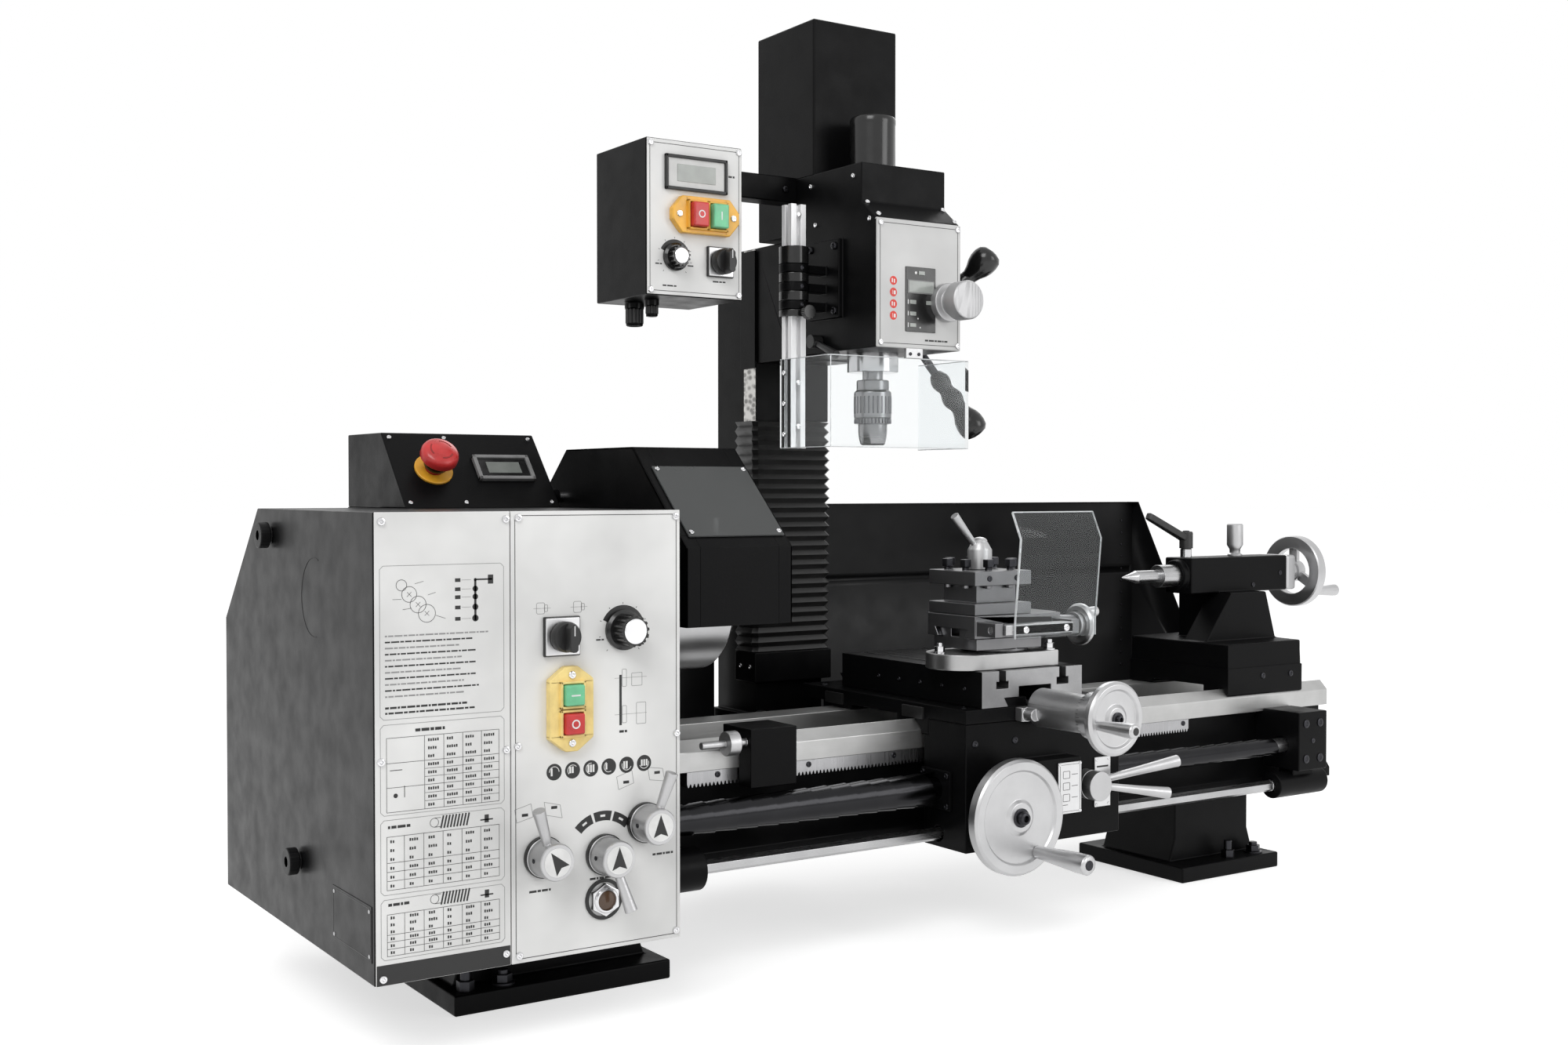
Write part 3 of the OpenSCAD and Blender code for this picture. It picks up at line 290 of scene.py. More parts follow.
@dataclass(frozen=True)
class GroundMetal(Finish):
    """Ground or brushed metal whose tool marks run one way."""
    grain: Grain = Grain.ALONG_X
    mark_per_metre: float = 900.0
    stain: float = 0.85
    mark_mm: float = 0.003

    def dress(self, board: Board) -> None:
        """Add grinding marks, dull patches and a little staining.

        Args:
            board: The board it is added to.
        """
        board.shader.inputs["Metallic"].default_value = 1.0
        marks = board.noise(self.mark_per_metre, board.place(stretch=self.grain.value), 3)
        cloud = board.noise(26, board.place(), 4)
        board.tint(cloud, [c * self.stain for c in self.colour], self.colour)
        board.rough(marks, self.roughness * 0.86, min(1, self.roughness * 1.15))
        board.bump(marks, self.mark_mm)


@dataclass(frozen=True)
class TurnedMetal(Finish):
    """Metal turned on a lathe, with fine rings about an axis."""
    centre: Point = (0, 0, 0)
    axis: Axis = Axis.X

    def dress(self, board: Board) -> None:
        """Add fine rings about the axis with faint clouding.

        Args:
            board: The board it is added to.
        """
        board.shader.inputs["Metallic"].default_value = 1.0
        flat = [1.0, 1.0, 1.0]
        flat[self.axis.index] = 0.0
        reach = board.node("VectorMath", operation="LENGTH")
        board.link(board.place(self.centre, tuple(flat)), reach.inputs[0])
        rings = board.node("TexNoise", noise_dimensions="1D", Scale=2600.0, Detail=2.0)
        board.link(reach.outputs["Value"], rings.inputs["W"])
        cloud = board.noise(40, board.place(), 3)
        board.tint(cloud, [c * 0.92 for c in self.colour], self.colour)
        board.rough(rings.outputs["Fac"], self.roughness * 0.85, min(1, self.roughness * 1.15))
        board.bump(rings.outputs["Fac"], 0.003)


@dataclass(frozen=True)
class Moulded(Finish):
    """Injection-moulded plastic or rubber with a light grain."""
    grain_mm: float = 0.02

    def dress(self, board: Board) -> None:
        """Add a moulded grain and handling marks.

        Args:
            board: The board it is added to.
        """
        place = board.place()
        cloud = board.noise(70, place, 3)
        board.tint(cloud, [c * 0.85 for c in self.colour], [min(1, c * 1.15) for c in self.colour])
        board.rough(cloud, self.roughness * 0.8, min(1, self.roughness * 1.2))
        board.bump(board.noise(1500, place, 1), self.grain_mm)


@dataclass(frozen=True)
class ClearSheet(Finish):
    """Clear polycarbonate or acrylic sheet with faint wipe marks."""
    clear: float = 0.88

    def dress(self, board: Board) -> None:
        """Let light through and haze the surface a little.

        Args:
            board: The board it is added to.
        """
        board.shader.inputs["Transmission Weight"].default_value = self.clear
        board.shader.inputs["IOR"].default_value = 1.15
        board.rough(board.noise(30, board.place(), 3), 0.0, self.roughness)


@dataclass(frozen=True)
class Scraped(Finish):
    """Hand-scraped slideway with overlapping crescent marks."""

    def dress(self, board: Board) -> None:
        """Add scraped crescents as cells of uneven gloss.

        Args:
            board: The board it is added to.
        """
        board.shader.inputs["Metallic"].default_value = 1.0
        cells = board.node("TexVoronoi", Scale=110.0)
        board.link(board.place(stretch=(1.0, 1.0, 1.5)), cells.inputs["Vector"])
        board.tint(cells.outputs["Distance"], [c * 0.35 for c in self.colour], self.colour)
        board.rough(cells.outputs["Distance"], self.roughness * 0.7, self.roughness * 1.4)
        board.bump(cells.outputs["Distance"], 0.05)


BLACK = TexturedPaint("Textured_black_paint", "black_paint", (0.0036, 0.0036, 0.0039), 0.38)
SATIN_BLACK = TexturedPaint("Satin_black_sheet", "black_paint", (0.006, 0.006, 0.0064), 0.36, 0.03, 420,
                            0.15)
WHITE = TexturedPaint("White_panel_paint", "white_paint", (0.80, 0.80, 0.79), 0.35, 0.006, 300, 0.25)
PALE_GREY = TexturedPaint("Pale_grey_panel_paint", "white_paint", (0.62, 0.62, 0.615), 0.35, 0.006, 300,
                          0.25)
WAY = GroundMetal("Ground_way_steel", "bright_steel", (0.52, 0.52, 0.515), 0.42, Grain.ALONG_X)
SHAFT = GroundMetal("Ground_shaft_steel", "bright_steel", (0.46, 0.46, 0.465), 0.28, Grain.ALONG_X, 1500)
QUILL = GroundMetal("Ground_quill_steel", "bright_steel", (0.6, 0.6, 0.61), 0.18, Grain.ALONG_Z, 1500)
IRON = GroundMetal("Milled_table_iron", "cast_iron", (0.36, 0.36, 0.365), 0.42, Grain.ALONG_Y, 500, 0.75)
# Darker steel for the drill chuck's key ring and sleeve: partly their own steel, partly painted dark
# reflection bands.
SLEEVE_STEEL_AND_PAINTED_REFLECTION = GroundMetal("Sleeve_steel_and_painted_dark_reflection", "dark_steel", (0.13, 0.13, 0.14), 0.3, Grain.EVEN, 700)
BLUED = GroundMetal("Blackened_screw_steel", "dark_steel", (0.045, 0.045, 0.05), 0.34, Grain.EVEN, 900)
CHROME = GroundMetal("Plated_screw_steel", "bright_steel", (0.72, 0.72, 0.73), 0.14, Grain.EVEN, 900)
SPIRAL = GroundMetal("Rolled_cover_steel", "spring_steel", (0.03, 0.03, 0.032), 0.2, Grain.EVEN, 500)
CAST_ALLOY = GroundMetal("Satin_cast_alloy", "aluminium", (0.50, 0.50, 0.505), 0.42, Grain.EVEN, 600, 0.9)
BRUSHED_ALLOY = GroundMetal("Brushed_alloy", "aluminium", (0.66, 0.66, 0.665), 0.36, Grain.ALONG_Z, 900,
                            0.92)
BAR_ALLOY = GroundMetal("Anodised_bar_alloy", "aluminium", (0.88, 0.88, 0.885), 0.6, Grain.ALONG_Z, 900,
                        0.95)
MATT_BLACK = Moulded("Matt_black_plastic", "black_plastic", (0.010, 0.010, 0.010), 0.45)
GLOSS_BLACK = Moulded("Gloss_black_plastic", "black_plastic", (0.010, 0.010, 0.010), 0.2, 0.004)
BELLOWS = Moulded("Pleated_bellows_rubber", "bellows_rubber", (0.011, 0.011, 0.011), 0.4, 0.03)
RED = Moulded("Red_button_plastic", "red_plastic", (0.60, 0.035, 0.035), 0.32, 0.004)
GREEN = Moulded("Green_button_plastic", "green_plastic", (0.17, 0.57, 0.31), 0.35, 0.006)
YELLOW = Moulded("Yellow_switch_plastic", "black_plastic", (0.90, 0.68, 0.26), 0.35, 0.008)
ORANGE = Moulded("Orange_switch_plastic", "black_plastic", (0.86, 0.46, 0.06), 0.35, 0.008)
STOP_RING = Moulded("Stop_ring_plastic", "black_plastic", (0.84, 0.42, 0.03), 0.4, 0.006)
CLEAR = ClearSheet("Clear_sheet", "clear_sheet", (0.93, 0.95, 0.955), 0.03, 0.975)
CLEAR_EDGE = ClearSheet("Sawn_sheet_edge", "clear_sheet", (0.86, 0.88, 0.89), 0.4, 0.35)
INK = Finish("Black_panel_ink", "white_paint", (0.012, 0.012, 0.012), 0.45)
GREY_INK = Finish("Grey_panel_ink", "white_paint", (0.30, 0.30, 0.30), 0.5)
RED_INK = Finish("Red_panel_ink", "white_paint", (0.70, 0.05, 0.035), 0.45)
BARE_PRINT = Finish("White_panel_ink", "white_paint", (0.82, 0.82, 0.81), 0.45)
LCD = Finish("Display_glass_grey", "black_plastic", (0.33, 0.35, 0.33), 0.12)
LCD_DARK = Finish("Display_segment_grey", "black_plastic", (0.20, 0.215, 0.20), 0.2)
RACK = GroundMetal("Cut_rack_steel", "bright_steel", (0.42, 0.42, 0.43), 0.3, Grain.ALONG_Z, 800)
PAINTED_REFLECTION_TABLE_TOP = GroundMetal("Milled_table_top_painted_dark_reflection", "cast_iron", (0.05, 0.05, 0.052), 0.3, Grain.ALONG_Y, 500)
# Near-black milled iron: a painted dark reflection on the cross slide's top, which is the same ground iron
# as the rest of the slide.
DISC_STEEL = GroundMetal("Turned_swivel_steel", "bright_steel", (0.46, 0.46, 0.46), 0.36, Grain.EVEN, 500)
REST_STEEL = GroundMetal("Milled_rest_steel", "dark_steel", (0.20, 0.20, 0.205), 0.32, Grain.ALONG_X, 600)
CHUCK = TurnedMetal("Turned_chuck_steel", "dark_steel", (0.50, 0.50, 0.505), 0.3, (-300, 0, 387), Axis.X)
CHUCK_STEEL = TurnedMetal("Turned_drill_chuck_steel", "dark_steel", (0.26, 0.26, 0.265), 0.24, (-33, 0,
        600), Axis.Z)
GREY_PLASTIC = Moulded("Grey_bezel_plastic", "black_plastic", (0.20, 0.20, 0.20), 0.4, 0.01)
DARK_RED = Moulded("Sunk_arrow_red", "red_plastic", (0.30, 0.012, 0.010), 0.4, 0.004)
PALE_CARD = Finish("Pale_readout_card", "white_paint", (0.62, 0.62, 0.61), 0.4)
DARK_INK = Finish("Worn_plate_ink", "black_paint", (0.05, 0.05, 0.05), 0.5)
TRACE = Finish("Shutter_seam_black", "black_paint", (0.004, 0.004, 0.004), 0.6)
SIGHT = Finish("Oil_sight_amber", "black_plastic", (0.10, 0.055, 0.03), 0.1)
SMOKED = ClearSheet("Cloudy_window_sheet", "clear_sheet", (0.16, 0.165, 0.165), 0.3, 0.45)
SCRAPED = Scraped("Scraped_slideway", "bright_steel", (0.6, 0.59, 0.57), 0.3)


def turned(name: str, centre: Point, axis: Axis, colour: float = 0.52,
           roughness: float = 0.36) -> TurnedMetal:
    """A turned-aluminium finish about the axis of a wheel or a knob."""
    return TurnedMetal(name, "aluminium", (colour, colour, colour * 1.01), roughness, centre, axis)


class Work:
    """A mesh in the making, in millimetres, that ends as one piece on a body."""

    def __init__(self) -> None:
        """Start with nothing on the bench."""
        self.whole = bmesh.new()

    def join(self, part: bmesh.types.BMesh) -> "Work":
        """Add a part to the piece as it is.

        Args:
            part: The part, which is used up.

        Returns:
            This piece.
        """
        mesh = bpy.data.meshes.new("part")
        part.to_mesh(mesh)
        part.free()
        self.whole.from_mesh(mesh)
        bpy.data.meshes.remove(mesh)
        return self

    def take(self, part: bmesh.types.BMesh, bevel: float = 0.0, segments: int = 2,
             over: float = 32.0) -> "Work":
        """Soften a part's sharp edges and add it to the piece.

        Args:
            part: The part, which is used up.
            bevel: Width of the softened edges, in millimetres.
            segments: Steps across each softened edge.
            over: Angle in degrees above which an edge is sharp.

        Returns:
            This piece.
        """
        bmesh.ops.recalc_face_normals(part, faces=part.faces)
        if bevel > 0:
            sharp = [e for e in part.edges if len(e.link_faces) == 2
                     and e.calc_face_angle(0) > math.radians(over)]
            bmesh.ops.bevel(part, geom=sharp, offset=bevel, offset_type="OFFSET", segments=segments,
                            profile=0.5, affect="EDGES", material=-1, clamp_overlap=True)
        return self.join(part)

    def block(self, x: Sequence[float], y: Sequence[float], z: Sequence[float], bevel: float = 0.0,
              segments: int = 2, turn: Matrix | None = None) -> "Work":
        """Add a block between two corners.

        Args:
            x: Its lowest and highest x.
            y: Its lowest and highest y.
            z: Its lowest and highest z.
            bevel: Width of its softened edges.
            segments: Steps across each softened edge.
            turn: A transform of the finished block.

        Returns:
            This piece.
        """
        part = bmesh.new()
        size = Matrix.Diagonal((x[1] - x[0], y[1] - y[0], z[1] - z[0], 1))
        middle = Matrix.Translation(((x[0] + x[1]) / 2, (y[0] + y[1]) / 2, (z[0] + z[1]) / 2))
        bmesh.ops.create_cube(part, size=1, matrix=(turn or Matrix.Identity(4)) @ middle @ size)
        return self.take(part, bevel, segments)

    def rod(self, start: Point, end: Point, r: float, r_end: float | None = None, sides: int = 40,
            bevel: float = 0.0, segments: int = 2) -> "Work":
        """Add a round bar or a taper between two points.

        Args:
            start: Centre of its first end.
            end: Centre of its second end.
            r: Radius at the start.
            r_end: Radius at the end, when it tapers.
            sides: How many flats go round it.
            bevel: Width of its softened rims.
            segments: Steps across each softened rim.

        Returns:
            This piece.
        """
        way = Vector(end) - Vector(start)
        place = Matrix.Translation((Vector(start) + Vector(end)) / 2) @ way.to_track_quat("Z",
                "Y").to_matrix().to_4x4()
        part = bmesh.new()
        bmesh.ops.create_cone(part, cap_ends=True, segments=sides, radius1=r, depth=way.length,
                              radius2=r if r_end is None else r_end, matrix=place)
        return self.take(part, bevel, segments, 50 if sides > 8 else 32)

    def ball(self, centre: Point, r: float, squash: Point = (1, 1, 1)) -> "Work":
        """Add a ball, flattened along the axes if asked.

        Args:
            centre: Its middle.
            r: Its radius.
            squash: Its stretch along each axis.

        Returns:
            This piece.
        """
        part = bmesh.new()
        place = Matrix.Translation(centre) @ Matrix.Diagonal((*squash, 1))
        bmesh.ops.create_uvsphere(part, u_segments=28, v_segments=16, radius=r, matrix=place)
        return self.take(part)

    def lathe(self, profile: Outline, centre: Point, axis: Axis, steps: int = 64, flip: bool = False,
              turn: Matrix | None = None) -> "Work":
        """Spin a profile about an axis.

        Args:
            profile: Points of (radius, distance along the axis).
            centre: Where distance 0 lies.
            axis: The axis of the spin.
            steps: How many steps go round.
            flip: Whether distance runs against the axis.
            turn: A turn that replaces the axis's own.

        Returns:
            This piece.
        """
        part = bmesh.new()
        points = [part.verts.new((r, 0, z)) for r, z in profile]
        for a, b in zip(points, points[1:]):
            part.edges.new((a, b))
        bmesh.ops.spin(part, geom=part.verts[:] + part.edges[:], cent=(0, 0, 0), axis=(0, 0, 1),
                       angle=math.tau, steps=steps, use_merge=True)
        bmesh.ops.remove_doubles(part, verts=part.verts, dist=0.001)
        way = (turn or axis.turn) @ (Matrix.Rotation(math.pi, 4, "X") if flip else Matrix.Identity(4))
        bmesh.ops.transform(part, matrix=Matrix.Translation(centre) @ way, verts=part.verts)
        return self.take(part)

    def prism(self, outline: Outline, axis: Axis, low: float, high: float, bevel: float = 0.0,
              segments: int = 2, turn: Matrix | None = None) -> "Work":
        """Extrude an outline along an axis.

        Args:
            outline: Points in the other two axes, in X, Y, Z order.
            axis: The way it is extruded.
            low: Where it starts.
            high: Where it ends.
            bevel: Width of its softened edges.
            segments: Steps across each softened edge.
            turn: A transform of the finished prism.

        Returns:
            This piece.
        """
        part = bmesh.new()
        corners = []
        for a, b in outline:
            point = [a, b]
            point.insert(axis.index, low)
            corners.append(part.verts.new(point))
        face = part.faces.new(corners)
        grown = bmesh.ops.extrude_face_region(part, geom=[face])
        way = Vector([(high - low) if i == axis.index else 0 for i in range(3)])
        bmesh.ops.translate(part, vec=way, verts=[v for v in grown["geom"] if isinstance(v,
                bmesh.types.BMVert)])
        if turn is not None:
            bmesh.ops.transform(part, matrix=turn, verts=part.verts)
        return self.take(part, bevel, segments)

    def screw(self, head: Point, axis: Axis, sign: int, r: float = 4.0, h: float = 2.6,
              drive: int = 6) -> "Work":
        """Add a screw's head that stands on a face, with its drive sunk in.

        Args:
            head: Where its axis meets the face.
            axis: Its axis.
            sign: 1 or -1, the way it stands out.
            r: The head's radius.
            h: The head's height.
            drive: Sides of the sunk drive; 4 makes a narrow cross-like one.

        Returns:
            This piece.
        """
        self.lathe([(0, 0), (r, 0), (r, h * 0.55), (r * 0.86, h * 0.9), (r * 0.6, h), (r * 0.5, h)],
                   head, axis, 24, sign < 0)
        part = bmesh.new()
        bmesh.ops.create_circle(part, cap_ends=False, segments=24, radius=r * 0.5)
        inner = bmesh.ops.create_circle(part, cap_ends=True, segments=drive, radius=r * 0.36)
        bmesh.ops.translate(part, vec=(0, 0, -h * 0.6), verts=inner["verts"])
        ring = [e for e in part.edges if e.is_boundary or not e.link_faces or len(e.link_faces) == 1]
        bmesh.ops.bridge_loops(part, edges=ring)
        way = axis.turn @ (Matrix.Rotation(math.pi, 4, "X") if sign < 0 else Matrix.Identity(4))
        bmesh.ops.transform(part, matrix=Matrix.Translation(head) @ way @ Matrix.Translation((0, 0, h)),
                            verts=part.verts)
        return self.join(part)

    def finish(self, name: str, body: str, finish: Finish, smooth: float = 34.0,
               place: Matrix | None = None) -> bpy.types.Object:
        """Turn the work into a finished piece that rides on a body.

        Args:
            name: The piece's name.
            body: The body it rides on.
            finish: Its finish.
            smooth: Angle in degrees below which faces shade smoothly.
            place: A last transform, in millimetres.

        Returns:
            The piece.
        """
        if place is not None:
            bmesh.ops.transform(self.whole, matrix=place, verts=self.whole.verts)
        bmesh.ops.scale(self.whole, vec=(MM, MM, MM), verts=self.whole.verts)
        mesh = bpy.data.meshes.new(name)
        self.whole.to_mesh(mesh)
        self.whole.free()
        return settle(mesh, name, body, finish, smooth)


def settle(mesh: bpy.types.Mesh, name: str, body: str | None, finish: Finish,
           smooth: float = 34.0) -> bpy.types.Object:
    """Give a mesh its shading, finish and body.

    Args:
        mesh: The finished mesh, in metres.
        name: The piece's name.
        body: The body it rides on; none for a piece left without a body.
        finish: Its finish.
        smooth: Angle in degrees below which faces shade smoothly.

    Returns:
        The piece.
    """
    mesh.shade_smooth()
    mesh.set_sharp_from_angle(angle=math.radians(smooth))
    mesh.materials.append(finish.material())
    piece = bpy.data.objects.new(name, mesh)
    bpy.context.scene.collection.objects.link(piece)
    if body is not None:
        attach(piece, body)
        flat = piece.modifiers.new("Flat_faces", "WEIGHTED_NORMAL")
        flat.keep_sharp = True
    log.info("%s: %d faces on %s", name, len(mesh.polygons), body or "two bodies")
    return piece


def body_of(node: str) -> str:
    """Name of the body that carries a node."""
    bodies = frame["record"]["behaviour"]["bodies"]
    return next(body for body, nodes in bodies.items() if node in nodes)


@dataclass
class Casting:
    """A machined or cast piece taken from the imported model, with its edges softened."""
    node: str
    finish: Finish
    edge: float = 0.8
    parts: dict[Finish, Callable[[Vector, Vector], bool]] = field(default_factory=dict)
    segments: int = 2

    def build(self) -> bpy.types.Object:
        """Copy, merge, soften and dress the node's shape.

        Returns:
            The piece that stands for the node.
        """
        work = bmesh.new()
        work.from_mesh(frame["nodes"][self.node].data)
        bmesh.ops.scale(work, vec=(1000, 1000, 1000), verts=work.verts)
        bmesh.ops.remove_doubles(work, verts=work.verts, dist=WELD_MM)
        bmesh.ops.dissolve_limit(work, angle_limit=math.radians(FLAT_DEGREES), verts=work.verts,
                                 edges=work.edges)
        if self.edge > 0:
            sharp = [e for e in work.edges if len(e.link_faces) == 2
                     and e.calc_face_angle(0) > math.radians(EDGE_DEGREES)]
            tight = {v for e in work.edges if e.calc_length() < self.edge * 2.2
                     and e not in sharp for v in e.verts if len(v.link_edges) > 3}
            chosen = [e for e in sharp if not (set(e.verts) & tight)]
            bmesh.ops.bevel(work, geom=chosen, offset=self.edge, offset_type="OFFSET", profile=0.5,
                            segments=self.segments, affect="EDGES", material=-1, clamp_overlap=False)
        bmesh.ops.scale(work, vec=(MM, MM, MM), verts=work.verts)
        mesh = bpy.data.meshes.new(self.node + "_piece")
        finishes = list(self.parts)
        for face in work.faces:
            middle, normal = face.calc_center_median() * 1000, face.normal
            for number, chosen_finish in enumerate(finishes, 1):
                if self.parts[chosen_finish](middle, normal):
                    face.material_index = number
        work.to_mesh(mesh)
        work.free()
        piece = settle(mesh, self.node + "_piece", body_of(self.node), self.finish)
        for other in finishes:
            mesh.materials.append(other.material())
        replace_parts(piece, self.node)
        return piece


def span(node: str) -> tuple[Vector, Vector]:
    """Lowest and highest corner of a node, in millimetres."""
    low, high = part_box(node)
    return Vector(low) / MM, Vector(high) / MM


def star(centre: tuple[float, float], r_out: float, r_in: float, points: int) -> list[tuple[float, float]]:
    """Outline of a fluted or toothed disc.

    Args:
        centre: Its middle.
        r_out: Radius over the points.
        r_in: Radius in the flutes.
        points: How many points it has.

    Returns:
        The outline's corners.
    """
    return [(centre[0] + r * math.cos(a), centre[1] + r * math.sin(a)) for k in range(points)
            for r, a in ((r_out, math.tau * (k + 0.12) / points), (r_out, math.tau * (k + 0.42) / points),
                         (r_in, math.tau * (k + 0.58) / points), (r_in, math.tau * (k + 0.96) / points))]


@dataclass
class Ink:
    """Flat printed shapes on one face, gathered into one thin piece."""
    name: str
    body: str
    finish: Finish
    axis: Axis
    level: float
    sign: int
    lift: float = 0.15
    work: Work = field(default_factory=Work)

    def shape(self, outline: Outline) -> "Ink":
        """Print a filled outline.

        Args:
            outline: Its corners.

        Returns:
            This print.
        """
        self.work.prism(outline, self.axis, self.level - self.sign * 0.05,
                        self.level + self.sign * self.lift)
        return self

    def box(self, u0: float, u1: float, v0: float, v1: float) -> "Ink":
        """Print a filled rectangle."""
        return self.shape([(u0, v0), (u1, v0), (u1, v1), (u0, v1)])

    def disc(self, u: float, v: float, r: float, sides: int = 28) -> "Ink":
        """Print a filled disc."""
        return self.shape([(u + r * math.cos(math.tau * k / sides), v + r * math.sin(math.tau * k / sides))
                           for k in range(sides)])

    def stroke(self, a: tuple[float, float], b: tuple[float, float], width: float = 0.5) -> "Ink":
        """Print a straight line between two points.

        Args:
            a: Its first end.
            b: Its second end.
            width: Its width.

        Returns:
            This print.
        """
        way = Vector(b) - Vector(a)
        side = Vector((-way.y, way.x)).normalized() * width / 2
        return self.shape([tuple(Vector(a) + side), tuple(Vector(b) + side),
                           tuple(Vector(b) - side), tuple(Vector(a) - side)])

    def arc(self, u: float, v: float, r_in: float, r_out: float, start: float = 0, end: float = 360,
            steps: int = 24) -> "Ink":
        """Print a band between two radii.

        Args:
            u: Its centre along the first axis of the face.
            v: Its centre along the second.
            r_in: Its inner radius.
            r_out: Its outer radius.
            start: Angle in degrees where it starts.
            end: Angle in degrees where it ends.
            steps: How many straight steps it has.

        Returns:
            This print.
        """
        angles = [math.radians(start + (end - start) * k / steps) for k in range(steps + 1)]
        for a, b in zip(angles, angles[1:]):
            self.shape([(u + r_in * math.cos(a), v + r_in * math.sin(a)),
                        (u + r_out * math.cos(a), v + r_out * math.sin(a)),
                        (u + r_out * math.cos(b), v + r_out * math.sin(b)),
                        (u + r_in * math.cos(b), v + r_in * math.sin(b))])
        return self

    def border(self, u0: float, u1: float, v0: float, v1: float, width: float = 0.4,
               cut: float = 3.0) -> "Ink":
        """Print a thin frame with cut corners.

        Args:
            u0: Its lowest u.
            u1: Its highest u.
            v0: Its lowest v.
            v1: Its highest v.
            width: Width of its line.
            cut: How far its corners are cut.

        Returns:
            This print.
        """
        corners = [(u0 + cut, v0), (u1 - cut, v0), (u1, v0 + cut), (u1, v1 - cut), (u1 - cut, v1),
                   (u0 + cut, v1), (u0, v1 - cut), (u0, v0 + cut)]
        for a, b in zip(corners, corners[1:] + corners[:1]):
            self.stroke(a, b, width)
        return self

    def dashes(self, u0: float, u1: float, v: float, height: float, seed: int) -> "Ink":
        """Print a row of short bars of uneven length.

        Args:
            u0: Where the row starts.
            u1: Where it ends.
            v: Its foot.
            height: Height of a bar.
            seed: A number that sets the run of lengths.

        Returns:
            This print.
        """
        at, count = u0, seed
        while at < u1 - 1.5:
            length = min(2.0 + (count * 7 % 5) * 1.3, u1 - at)
            self.box(at, at + length, v, v + height)
            at += length + 1.0
            count += 1
        return self

    def grid(self, u0: float, u1: float, v0: float, v1: float, columns: Sequence[float],
             rows: Sequence[float], width: float = 0.35) -> "Ink":
        """Print a table's lines.

        Args:
            u0: Its lowest u.
            u1: Its highest u.
            v0: Its lowest v.
            v1: Its highest v.
            columns: Shares of its width where upright lines stand.
            rows: Shares of its height where level lines lie.
            width: Width of a line.

        Returns:
            This print.
        """
        for share in columns:
            u = u0 + (u1 - u0) * share
            self.stroke((u, v0), (u, v1), width)
        for share in rows:
            v = v0 + (v1 - v0) * share
            self.stroke((u0, v), (u1, v), width)
        return self

    def done(self) -> bpy.types.Object:
        """Finish the print as a piece."""
        return self.work.finish(self.name, self.body, self.finish)


def screws(name: str, body: str, heads: Iterable[Point], axis: Axis, sign: int, r: float = 4.0,
           h: float = 2.6, finish: Finish | None = None, drive: int = 6) -> bpy.types.Object:
    """A set of equal screws as one piece.

    Args:
        name: The piece's name.
        body: The body it rides on.
        heads: Where each screw's axis meets the face.
        axis: The screws' axis.
        sign: The way they stand out.
        r: Radius of a head.
        h: Height of a head.
        finish: Their finish; plated steel if none is given.
        drive: Sides of the sunk drive.

    Returns:
        The piece.
    """
    work = Work()
    for head in heads:
        work.screw(head, axis, sign, r, h, drive)
    return work.finish(name, body, finish or CHROME)


